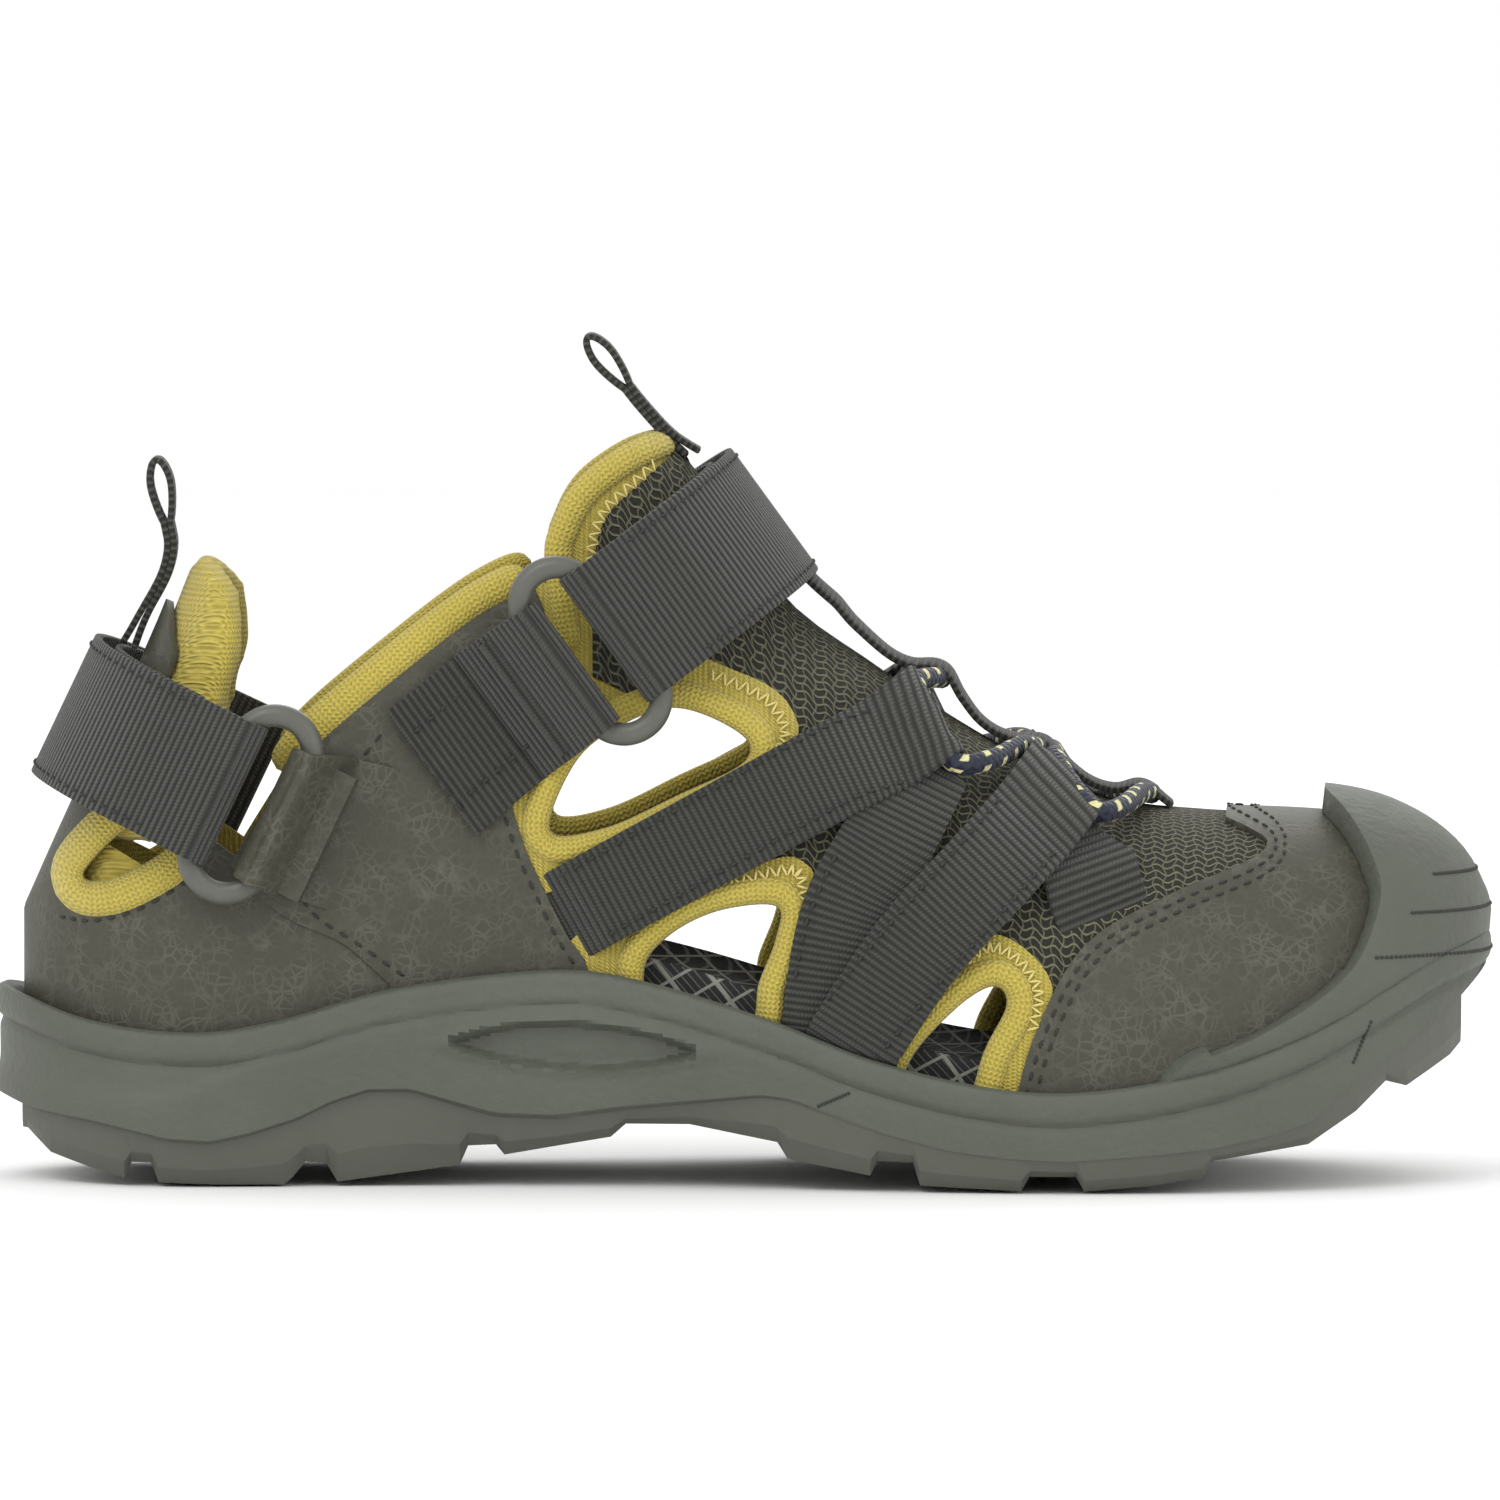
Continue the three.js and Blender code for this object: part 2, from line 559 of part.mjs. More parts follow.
const instepFrame = closureFrame(-26.3, 88.6, THREE.MathUtils.degToRad(-54));
const heelFrame = closureFrame(-82.4, 63.2, THREE.MathUtils.degToRad(64.5));
const BASE_GAP = 2.4;             // base strap and flap lie this far apart, for the patches
const ARCH_SQUARENESS = 2.35;
const BASE_FROM = -66;            // the base strap starts this far round from its crown, degrees
const STRAP_INSET = WEBBING + BASE_GAP;
const INSTEP_SLACK = 0.052 * WIDE_WEBBING;   // room under a base strap, so a foot can flex
const HEEL_SLACK = 2.35;

// The height that an arch of this span needs to clear the upper under a strap.
function archOver(frame, span, width) {
  let height = 0;
  for (let i = 1; i < 160; i += 1) {
    for (let degrees = -88; degrees <= 88; degrees += 4) {
      const onUpper = liftedPoint(i / 160, THREE.MathUtils.degToRad(degrees), LAYER_TOP).sub(frame.centre);
      const share = Math.abs(onUpper.y) / span;
      const out = onUpper.dot(frame.rise);
      if (Math.abs(onUpper.dot(frame.wide)) > width / 2 + FIT_GAP * 2 || share > 0.9 || out <= 0) continue;
      height = Math.max(height, out / (1 - share ** ARCH_SQUARENESS) ** (1 / ARCH_SQUARENESS));
    }
  }
  return height;
}

const INSTEP_RING_OUT = 35 * gradeY + LAYER - 2.3;
const HEEL_RING_OUT = 34.2 * gradeY + LAYER - 2.3;
const INSTEP_RISE = archOver(instepFrame, INSTEP_RING_OUT - STRAP_INSET, WIDE_WEBBING) + STRAP_INSET
  + INSTEP_SLACK;
const HEEL_RISE = archOver(heelFrame, HEEL_RING_OUT - STRAP_INSET, WIDE_WEBBING) + STRAP_INSET
  + HEEL_SLACK;
const RING_LENGTH = WIDE_WEBBING + 2.4;
const FOLD_WIDTH = RING_LENGTH - RING_SLOT - 2 * FIT_GAP;   // a fold fills a bar's straight stretch
const BRIDGE_DEPTH = 6;           // stitched stack between a ring's fold and its patch
const BRIDGE_LENGTH = 5;
const BAR_PLACE = (RING_SLOT + RING_BAR) / 2;

// Places a geometry drawn in (out, rise) and extruded along the width into its closure's frame.
function intoFrame(geometry, frame, outPlace = 0) {
  const out = new THREE.Vector3(0, 1, 0);
  const basis = new THREE.Matrix4().makeBasis(out, frame.rise, frame.wide);
  if (basis.determinant() < 0) throw new Error('a closure frame is left-handed');
  geometry.translate(outPlace, 0, 0);
  geometry.applyMatrix4(basis);
  geometry.translate(frame.centre.x, frame.centre.y, frame.centre.z);
  return toSolid(geometry);
}

function extrudedAcross(shape, width, frame, outPlace = 0) {
  const geometry = new THREE.ExtrudeGeometry(shape, { depth: width, bevelEnabled: false, curveSegments: 20 });
  geometry.translate(0, 0, -width / 2);
  return intoFrame(geometry, frame, outPlace);
}

// An arched strap: half an ellipse from the medial side (-out) over to the lateral side (+out),
// between two angles from its crown, with its thickness outwards.
function archShape(halfSpan, height, thickness, fromDegrees, toDegrees) {
  const steps = 14;
  const inner = [];
  const outer = [];
  const squared = (value) => Math.sign(value) * Math.abs(value) ** (2 / ARCH_SQUARENESS);
  for (let i = 0; i <= steps; i += 1) {
    const t = THREE.MathUtils.degToRad(fromDegrees + (toDegrees - fromDegrees) * i / steps);
    const [out, up] = [squared(Math.sin(t)), squared(Math.max(Math.cos(t), 0))];
    inner.push(new THREE.Vector2(halfSpan * out, height * up));
    outer.push(new THREE.Vector2((halfSpan + thickness) * out, (height + thickness) * up));
  }
  return new THREE.Shape([...inner, ...outer.reverse()]);
}

function barLoop(thickness) {
  const clear = RING_BAR / 2 + FOLD_CLEARANCE;
  const loop = new THREE.Shape().absarc(0, 0, clear + thickness, 0, 2 * Math.PI);
  loop.holes.push(new THREE.Path().absarc(0, 0, clear, 0, 2 * Math.PI));
  return loop;
}

function ring(frame, outPlace) {
  const half = (RING_LENGTH - RING_SLOT) / 2;
  const stadium = (radius, target) => {
    target.absarc(0, half, radius, 0, Math.PI);
    target.absarc(0, -half, radius, Math.PI, 2 * Math.PI);
    return target;
  };
  const shape = stadium(RING_SLOT / 2 + RING_BAR, new THREE.Shape());
  shape.holes.push(stadium(RING_SLOT / 2, new THREE.Path()));
  const geometry = new THREE.ExtrudeGeometry(shape, {
    depth: RING_THICKNESS - 2, bevelThickness: 1, bevelSize: 0.9, bevelOffset: -0.9, bevelSegments: 1,
    curveSegments: 6,
  });
  geometry.translate(0, 0, -(RING_THICKNESS - 2) / 2);
  const toFrame = new THREE.Matrix4().makeBasis(new THREE.Vector3(0, 1, 0), new THREE.Vector3(0, 0, 1),
    new THREE.Vector3(1, 0, 0));
  geometry.applyMatrix4(toFrame);
  return intoFrame(geometry, frame, -outPlace);
}

// The webbing or leather tab that holds a ring: a patch on the quarter and a fold round the bar.
function ringTab(frame, outPlace, outline, thickness) {
  const patch = panel(WEBBING_LIFT, WEBBING_LIFT + thickness, outline, MEDIAL);
  const fold = barLoop(thickness);
  const geometry = new THREE.ExtrudeGeometry(fold, { depth: FOLD_WIDTH, bevelEnabled: false,
    curveSegments: 6 });
  geometry.translate(0, -BAR_PLACE, -FOLD_WIDTH / 2);
  const foldBack = RING_BAR / 2 + FOLD_CLEARANCE + thickness / 2;
  const bridge = new THREE.BoxGeometry(BRIDGE_DEPTH, BRIDGE_LENGTH, FOLD_WIDTH);
  bridge.translate(foldBack + BRIDGE_DEPTH / 2, -BAR_PLACE - BRIDGE_LENGTH / 2, 0);
  const bridgeSolid = intoFrame(bridge, frame, -outPlace).subtract(lastForm(WEBBING_LIFT, SKIRT));
  return patch.add(intoFrame(geometry, frame, -outPlace)).add(bridgeSolid);
}

function strapBase(frame, outPlace, rise) {
  const shape = archShape(outPlace - STRAP_INSET, rise - STRAP_INSET, WEBBING, BASE_FROM, 90);
  return extrudedAcross(shape, WIDE_WEBBING, frame);
}

function strapFlap(frame, outPlace, rise) {
  const clearance = RING_BAR / 2 + FOLD_CLEARANCE;
  const arch = extrudedAcross(archShape(outPlace, rise, WEBBING, -88, 52), WIDE_WEBBING, frame);
  const ringSpace = new THREE.BoxGeometry(4 * RING_THICKNESS, 2 * (BAR_PLACE + clearance), 2 * RING_LENGTH);
  const fold = new THREE.ExtrudeGeometry(barLoop(WEBBING), { depth: FOLD_WIDTH, bevelEnabled: false,
    curveSegments: 6 });
  fold.translate(0, BAR_PLACE, -FOLD_WIDTH / 2);
  return arch.subtract(intoFrame(ringSpace, frame, -outPlace)).add(intoFrame(fold, frame, -outPlace));
}

function strapPatch(frame, outPlace, rise, lift) {
  const width = WIDE_WEBBING - 3;
  const halfTurn = THREE.MathUtils.radToDeg(PATCH_LENGTH / (rise + outPlace));
  const middle = 36;
  return extrudedAcross(archShape(outPlace + lift, rise + lift, PATCH - FIT_GAP, middle - halfTurn,
    middle + halfTurn), width, frame);
}

// ---------------------------------------------------------------- pull loops
// A tape folded into a loop: up one line and down the next, standing on the centre plane.
function pullLoop(points, eye) {
  const line = smoothPath(graded(points), 12);
  const top = line[line.length - 1];
  const tape = across(strip(line, 2 * LOOP_TAPE)).intersect(box(-ABOVE, ABOVE, -LOOP_WIDTH / 2,
    LOOP_WIDTH / 2, -ABOVE, ABOVE));
  const ringShape = rounded([new THREE.Vector2(top.x - eye / 2, top.y), new THREE.Vector2(top.x, top.y - 1.6 * eye),
    new THREE.Vector2(top.x + eye / 2, top.y), new THREE.Vector2(top.x, top.y + 1.6 * eye)], 16);
  const band = across(grow(ringShape, LOOP_TAPE)).subtract(across(ringShape)).intersect(box(-ABOVE, ABOVE,
    -LOOP_WIDTH / 2, LOOP_WIDTH / 2, -ABOVE, ABOVE));
  return tape.subtract(across(ringShape)).add(band);
}

// The loops are sewn on just past a strap's upper edge, wherever that lies. `side` is the edge's
// direction along the strap's width, and the points are measured from it in pattern sizes.
function looseLoop(frame, rise, side, offsets) {
  const edge = frame.centre.clone().addScaledVector(frame.rise, rise)
    .addScaledVector(frame.wide, side * WIDE_WEBBING / 2);
  const points = offsets.map(([x, z]) => [edge.x / gradeX + x, edge.z / gradeZ + z]);
  return pullLoop(points, LOOP_EYE).subtract(lastForm(LAYER_TOP + FIT_GAP));
}

function tonguePullLoop() {
  const offsets = [[-6.6, 0.7], [-9.4, 3.4], [-13.6, 8.4], [-17.1, 13.1]];
  return looseLoop(instepFrame, INSTEP_RISE, -1, offsets);
}

function heelPullLoop() {
  const offsets = [[7.2, 3.9], [10.1, 12.4], [10.7, 18.9], [10.1, 22.4]];
  return looseLoop(heelFrame, HEEL_RISE, 1, offsets);
}

// ---------------------------------------------------------------- assembly
const sandal = new THREE.Group();

function place(name, solid, colour, roughness, metalness = 0) {
  const material = new THREE.MeshStandardMaterial({ color: colour, roughness, metalness });
  const mesh = new THREE.Mesh(toGeometry(solid), material);
  mesh.name = name;
  sandal.add(mesh);
}

const RUBBER = 0x62665a;
const LEATHER = 0x58584c;
const WEBBING_GREY = 0x4b4c4a;
const YELLOW = 0xb8a83e;
const MESH = 0x54553f;
const BLACK = 0x202124;

place('outsole', outsole(), RUBBER, 0.8);
place('midsole', midsole(), RUBBER, 0.7);
place('toe_bumper', toeBumper(), RUBBER, 0.7);
place('strobel_board', strobelBoard(), 0xd8d4c8, 0.9);
place('footbed', footbed(), BLACK, 0.85);
place('heel_overlay', heelOverlay(), LEATHER, 0.6);
place('heel_stiffener', heelStiffener(), 0xcfc8b4, 0.9);
place('toe_stiffener', toeStiffener(), 0xcfc8b4, 0.9);
place('heel_pad', heelPad(), YELLOW, 0.9);
place('toe_cap', toeCap(), LEATHER, 0.6);
place('vamp_mesh', vampMesh(), MESH, 0.9);
place('tongue', tongueBody(), MESH, 0.9);
place('tongue_binding', tongueBinding(), YELLOW, 0.9);
place('lace_tape', laceTape(), WEBBING_GREY, 0.8);
place('elastic_lace', elasticLace(), 0x1d2540, 0.8);
for (const [side, word] of SIDES) {
  place(`quarter_${word}`, quarter(side), LEATHER, 0.6);
  place(`collar_binding_${word}`, collarBinding(side), YELLOW, 0.9);
  place(`rear_webbing_${word}`, webbingFold([rearLeg, rearReturn], WEBBING_LIFT, side), WEBBING_GREY, 0.8);
  place(`front_webbing_${word}`, webbingFold([frontLeg, frontReturn], OVER_WEBBING_LIFT, side),
    WEBBING_GREY, 0.8);
  windowNames.forEach((name, index) => {
    place(`${name}_window_binding_${word}`, windowBinding(index, side), YELLOW, 0.9);
  });
}
const heelTabOutline = graded([[-69, 71], [-77, 69], [-84.5, 55], [-76, 46.5]]);
const closures = [
  ['instep', instepFrame, INSTEP_RING_OUT, INSTEP_RISE, strip(ringTabLine, WIDE_WEBBING), WEBBING,
    WEBBING_GREY],
  ['heel', heelFrame, HEEL_RING_OUT, HEEL_RISE, heelTabOutline, LAYER, LEATHER],
];
for (const [word, frame, out, rise, outline, thickness, colour] of closures) {
  place(`${word}_ring_tab`, ringTab(frame, out, outline, thickness), colour, 0.8);
  place(`${word}_ring`, ring(frame, out), 0x5a5c52, 0.4);
  place(`${word}_strap_base`, strapBase(frame, out, rise), WEBBING_GREY, 0.8);
  place(`${word}_strap_flap`, strapFlap(frame, out, rise), WEBBING_GREY, 0.8);
  place(`${word}_hook_patch`, strapPatch(frame, out, rise, -PATCH), BLACK, 0.9);
  place(`${word}_loop_patch`, strapPatch(frame, out, rise, -BASE_GAP + FIT_GAP), BLACK, 0.9);
}
place('tongue_pull_loop', tonguePullLoop(), WEBBING_GREY, 0.8);
place('heel_pull_loop', heelPullLoop(), WEBBING_GREY, 0.8);

export default sandal;
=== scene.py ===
# Strappy sport sandal, left foot, built in the order a shoemaker puts it together:
# sole, foot form, upper, webbing and lace, then the ring-and-strap closures and pull loops.
import math
import bpy
import numpy as np
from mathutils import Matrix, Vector


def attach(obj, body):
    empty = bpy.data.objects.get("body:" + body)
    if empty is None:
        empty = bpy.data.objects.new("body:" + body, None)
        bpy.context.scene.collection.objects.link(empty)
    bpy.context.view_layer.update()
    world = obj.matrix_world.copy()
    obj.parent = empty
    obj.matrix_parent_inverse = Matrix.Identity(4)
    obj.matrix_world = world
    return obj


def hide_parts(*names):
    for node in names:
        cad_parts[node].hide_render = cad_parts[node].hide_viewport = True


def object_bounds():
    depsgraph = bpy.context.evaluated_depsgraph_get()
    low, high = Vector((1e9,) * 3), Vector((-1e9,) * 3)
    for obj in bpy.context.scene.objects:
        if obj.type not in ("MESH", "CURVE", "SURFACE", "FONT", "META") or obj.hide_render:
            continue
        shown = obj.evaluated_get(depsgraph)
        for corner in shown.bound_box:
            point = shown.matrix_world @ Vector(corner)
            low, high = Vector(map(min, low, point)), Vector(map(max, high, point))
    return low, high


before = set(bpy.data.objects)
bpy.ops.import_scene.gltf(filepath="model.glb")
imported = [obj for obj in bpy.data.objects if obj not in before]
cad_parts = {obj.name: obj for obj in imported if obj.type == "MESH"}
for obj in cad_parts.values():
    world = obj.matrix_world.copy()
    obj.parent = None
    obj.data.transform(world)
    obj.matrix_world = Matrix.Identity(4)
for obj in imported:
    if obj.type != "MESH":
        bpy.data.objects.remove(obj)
cad_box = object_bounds()

# ---- Studio ------------------------------------------------------------------------------
# A pale floor, a pale surround and three soft lamps, with a long lens almost level with the
# shoe, looking at its inner side.
low, high = (np.array(corner) for corner in cad_box)
middle = (low + high) / 2
VIEW_WIDTH = 0.250
LENS_DISTANCE = 3.2
LENS_ELEVATION = math.radians(3.0)


class Wire:
    """A value, colour or vector on its way through a material. Sums become Math nodes."""

    def __init__(self, tree, socket):
        self.tree = tree
        self.socket = socket

    def node(self, kind, inputs=(), output=0, **settings):
        """Any node: its settings first, then the values or wires on its sockets."""
        made = self.tree.nodes.new(kind)
        stops = settings.pop("stops", None)
        for name, value in settings.items():
            setattr(made, name, value)
        if stops:
            ramp = made.color_ramp
            while len(ramp.elements) < len(stops):
                ramp.elements.new(0.5)
            for element, (place, colour) in zip(ramp.elements, stops):
                element.position = place
                element.color = colour if len(colour) == 4 else (*colour, 1)
        for key, value in dict(inputs).items():
            if isinstance(value, Wire):
                self.tree.links.new(value.socket, made.inputs[key])
            else:
                made.inputs[key].default_value = value
        return Wire(self.tree, made.outputs[output])

    def maths(self, operation, *values):
        return self.node("ShaderNodeMath", dict(enumerate((self, *values))), operation=operation)

    def __add__(self, other):
        return self.maths("ADD", other)

    def __mul__(self, other):
        return self.maths("MULTIPLY", other)

    def __sub__(self, other):
        return self.maths("SUBTRACT", other)

    def __rsub__(self, other):
        return (self * -1) + other

    def __truediv__(self, other):
        return self.maths("DIVIDE", other)

    __radd__ = __add__
    __rmul__ = __mul__

    def wave(self, pitch):
        """A ripple from 0 to 1 with this pitch."""
        return (self * (2 * math.pi / pitch)).maths("SINE") * 0.5 + 0.5

    def over(self, edge, softness):
        """A mask that goes from 0 to 1 as the value passes an edge."""
        return self.node("ShaderNodeMapRange", {0: self, 1: edge - softness, 2: edge + softness})

    def blend(self, dark, light):
        """A colour between two, by this value."""
        return self.node("ShaderNodeMix", {0: self, 6: colour4(dark), 7: colour4(light)}, output=2,
                       data_type="RGBA")

    def bump(self, height, strength=1.0):
        return self.node("ShaderNodeBump",
                         {"Height": self, "Distance": height, "Strength": strength})


def colour4(colour):
    return colour if isinstance(colour, Wire) or len(colour) == 4 else (*colour, 1)


def finish(name, build, rough=0.7, sheen=0.0, specular=0.5):
    """A material whose build function returns what varies: colour, roughness and normal."""
    material = bpy.data.materials.new(name)
    material.use_nodes = True
    tree = material.node_tree
    shader = tree.nodes["Principled BSDF"]
    shader.inputs["Roughness"].default_value = rough
    shader.inputs["Specular IOR Level"].default_value = specular
    shader.inputs["Sheen Weight"].default_value = sheen
    shader.inputs["Sheen Roughness"].default_value = 0.5
    start = Wire(tree, None)
    for key, value in build(start).items():
        if isinstance(value, Wire):
            tree.links.new(value.socket, shader.inputs[key])
        else:
            shader.inputs[key].default_value = value
    return material


def object_place(start):
    return start.node("ShaderNodeTexCoord", output="Object")


def axis_of(vector, axis):
    return vector.node("ShaderNodeSeparateXYZ", {0: vector}, output=axis)


def noise(start, place, scale, detail=3.0, rough=0.55):
    return start.node("ShaderNodeTexNoise", {"Vector": place, "Scale": scale, "Detail": detail,
                                           "Roughness": rough}, output="Fac")


def floor_finish(start):
    tone = noise(start, object_place(start), 3.0)
    return {"Base Color": tone.blend((0.985, 0.985, 0.985), (0.995, 0.995, 0.995))}


FLOOR_REACH = 3.0
bpy.ops.object.select_all(action="DESELECT")
bpy.ops.mesh.primitive_plane_add(size=2 * FLOOR_REACH, location=(0, 0, low[2] - 0.0004))
floor = bpy.context.object
floor.name = "studio_floor"
floor.data.materials.append(finish("studio_floor", floor_finish, rough=0.9))

world = bpy.data.worlds.new("studio")
world.use_nodes = True
world.node_tree.nodes["Background"].inputs["Color"].default_value = (1, 1, 1, 1)
world.node_tree.nodes["Background"].inputs["Strength"].default_value = 1.0
bpy.context.scene.world = world
bpy.context.scene.view_settings.view_transform = "Standard"


def softbox(name, place, size, power):
    bpy.ops.object.light_add(type="AREA", location=place)
    lamp = bpy.context.object
    lamp.name = name
    lamp.data.size = size
    lamp.data.energy = power
    aim = lamp.location - bpy.context.scene.cursor.location
    lamp.rotation_euler = aim.to_track_quat("Z", "Y").to_euler()


softbox("key_lamp", (-0.55, -1.0, 1.15), 0.8, 6)
softbox("fill_lamp", (0.9, -1.1, 0.6), 1.0, 2.5)
softbox("back_lamp", (0.2, 1.1, 0.9), 0.9, 4)

bpy.ops.object.camera_add(
    location=(middle[0], middle[1] - LENS_DISTANCE * math.cos(LENS_ELEVATION),
              middle[2] + LENS_DISTANCE * math.sin(LENS_ELEVATION)))
camera = bpy.context.object
camera.rotation_euler = (math.pi / 2 - LENS_ELEVATION, 0, 0)
camera.data.sensor_width = 36
camera.data.lens = 36 * LENS_DISTANCE / VIEW_WIDTH
camera.data.clip_end = 20
bpy.context.scene.camera = camera


# ---- Foot form ---------------------------------------------------------------------------
# The shoe is made over a last. These lines give the last's top, the sole's rim and half the
# width on each side, and every upper piece is laid on the last at its own height above it.
HEEL_END, TOE_END = -0.11885, 0.1167
HEEL_ROUND, TOE_ROUND = -0.090, 0.062
SQUARENESS = 2.5
SKIRT_RATE = 0.03
MEDIAL, LATERAL = -1, 1


def smooth_line(points):
    along, value = np.array(points, float).T / 1000
    slope = np.gradient(value)
    slope[1:-1] = (value[2:] - value[:-2]) / (along[2:] - along[:-2])
    slope[[0, -1]] = (np.diff(value) / np.diff(along))[[0, -1]]

    def at(x):
        i = np.clip(np.searchsorted(along, x) - 1, 0, len(along) - 2)
        span = along[i + 1] - along[i]
        t = np.clip((x - along[i]) / span, 0, 1)
        ease = t * t * (3 - 2 * t)
        bend = slope[i] * t * (1 - t) ** 2 - slope[i + 1] * t * t * (1 - t)
        return value[i] * (1 - ease) + value[i + 1] * ease + span * bend

    return at


rim_line = smooth_line([
    (-124, 31.5), (-109, 26.7), (-91, 25), (-78, 27), (-59, 32.2), (-31, 35.4), (-17, 33.5),
    (3, 27.7), (20, 21.3), (40, 16.8), (55, 16.2), (75, 19.5), (92, 25.5), (105, 32.5),
    (115, 38), (127, 42)])
top_line = smooth_line([
    (-118.85, 44), (-113.5, 56), (-107, 70), (-99, 86), (-92, 103), (-84, 125), (-72, 146),
    (-55, 152), (-38, 146), (-24, 130.5), (-9, 113), (5, 94.5), (19, 84), (34, 74), (50, 65),
    (60, 60.8), (75, 59), (95, 58), (102, 56.8), (107, 54.8), (111, 52.3), (114.2, 49),
    (116.7, 44)])
medial_plan = smooth_line([(-125, 26), (-90, 27), (-60, 25.5), (-25, 27.5), (10, 36),
                           (40, 41.5), (65, 42.33), (90, 40), (118, 36)])
lateral_plan = smooth_line([(-125, 26), (-90, 27), (-60, 27.5), (-25, 30), (10, 38.5),
                            (35, 43), (60, 43), (90, 39), (118, 35)])


def half_width(side, x, grow=0.0):
    heel = np.clip((HEEL_ROUND - x) / (HEEL_ROUND - HEEL_END + grow), 0, 1)
    toe = np.clip((x - TOE_ROUND) / (TOE_END + grow - TOE_ROUND), 0, 1)
    plan = np.where(np.asarray(side) < 0, medial_plan(x), lateral_plan(x)) + grow
    return plan * np.sqrt(1 - heel ** 2) * (1 - toe ** SQUARENESS) ** (1 / SQUARENESS)


def on_last(u, angle):
    x = HEEL_END + (TOE_END - HEEL_END) * (1 - np.cos(np.pi * u)) / 2
    bottom = rim_line(x) - 0.003
    rise = np.maximum(np.cos(angle), 0) ** (2 / SQUARENESS)
    y = half_width(np.sign(angle), x) * np.sin(angle)
    return np.stack([x, y, bottom + (top_line(x) - bottom) * rise], -1)


def off_last(u, angle):
    """The direction straight out of the last."""
    step = 0.004
    a = np.clip(angle, -np.pi / 2 + step, np.pi / 2 - step)
    along = on_last(np.minimum(u + step, 1), a) - on_last(np.maximum(u - step, 0), a)
    round_ = on_last(u, a + step) - on_last(u, a - step)
    out = np.cross(along, round_)
    out /= np.maximum(np.linalg.norm(out, axis=-1, keepdims=True), 1e-12)
    end = (u < 1e-6) | (u > 1 - 1e-6)
    out[end] = np.stack([np.sign(u - 0.5), 0 * u, 0 * u], -1)[end]
    return out


def lasted(u, angle, lift):
    """A place above the last. Past a right angle it goes straight down, behind the sole's rim."""
    edge = np.clip(angle, -np.pi / 2, np.pi / 2)
    place = on_last(u, edge) + off_last(u, edge) * np.asarray(lift)[..., None]
    place[..., 2] -= (np.abs(angle) - np.abs(edge)) * SKIRT_RATE
    return place


def u_at(x):
    share = np.clip((x - HEEL_END) / (TOE_END - HEEL_END), 0, 1)
    return np.arccos(1 - 2 * share) / np.pi


def laid(points, side, lift):
    """Where side-view places fall on the last at this lift, as (u, angle)."""
    x, z = np.asarray(points, float).T
    u = u_at(x)
    base_x = x.copy()
    bottom = rim_line(x) - 0.003
    rise = np.clip((z - bottom) / (top_line(x) + lift - bottom), 0, 1)
    for _ in range(12):
        angle = side * np.arccos(rise ** 1.25)
        found = lasted(u, angle, lift)
        base_x += 0.7 * (x - found[:, 0])
        u = u_at(base_x)
        bottom = rim_line(base_x) - 0.003
        rise = np.clip(rise + 0.6 * (z - found[:, 2]) / (top_line(base_x) + lift - bottom), 0, 1)
    below = np.where(rise <= 0, np.maximum(bottom - z, 0), 0)
    return np.stack([u, side * (np.arccos(rise ** 1.25) + below / SKIRT_RATE)], -1)


def spline(points, samples=8, closed=False):
    """A smooth line through a few points."""
    p = np.asarray(points, float)
    if closed:
        p = np.vstack([p[-1:], p, p[:2]])
    else:
        p = np.vstack([2 * p[:1] - p[1:2], p, 2 * p[-1:] - p[-2:-1]])
    t = np.linspace(0, 1, samples, endpoint=False)[:, None]
    pieces = []
    for a, b, c, d in zip(p, p[1:], p[2:], p[3:]):
        pieces.append(0.5 * (2 * b + (c - a) * t + (2 * a - 5 * b + 4 * c - d) * t ** 2
                             + (3 * b - a - 3 * c + d) * t ** 3))
    line = np.vstack(pieces)
    return line if closed else np.vstack([line, p[-2]])


def even(line, count, closed=False):
    """The same line with evenly spaced points."""
    line = np.vstack([line, line[:1]]) if closed else line
    gone = np.concatenate([[0], np.cumsum(np.linalg.norm(np.diff(line, axis=0), axis=1))])
    places = np.linspace(0, gone[-1], count, endpoint=not closed)
    return np.stack([np.interp(places, gone, line[:, k]) for k in range(line.shape[1])], -1)


def length_of(line):
    return float(np.linalg.norm(np.diff(line, axis=0), axis=1).sum())


def sideways(line, closed=False):
    """The direction to the left of a flat line at each of its points."""
    if closed:
        ahead = np.roll(line, -1, 0) - np.roll(line, 1, 0)
    else:
        ahead = np.gradient(line, axis=0)
    ahead /= np.maximum(np.linalg.norm(ahead, axis=1, keepdims=True), 1e-12)
    return np.stack([-ahead[:, 1], ahead[:, 0]], -1)


def weld(distance):
    """Merges the active piece's points that lie within this distance."""
    bpy.ops.object.mode_set(mode="EDIT")
    bpy.ops.mesh.select_all(action="SELECT")
    bpy.ops.mesh.remove_doubles(threshold=distance)
    bpy.ops.object.mode_set(mode="OBJECT")


def sew_up(piece, name, body, material, replaced=(), merge=1e-6, smooth=35):
    """Merges a new piece's doubles, names it and gives it its finish and its body."""
    piece.name = name
    piece.data.name = name
    weld(merge)
    piece.data.materials.append(material)
    bpy.ops.object.shade_smooth_by_angle(angle=math.radians(smooth))
    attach(piece, body)
    if replaced:
        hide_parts(*replaced)
    return piece


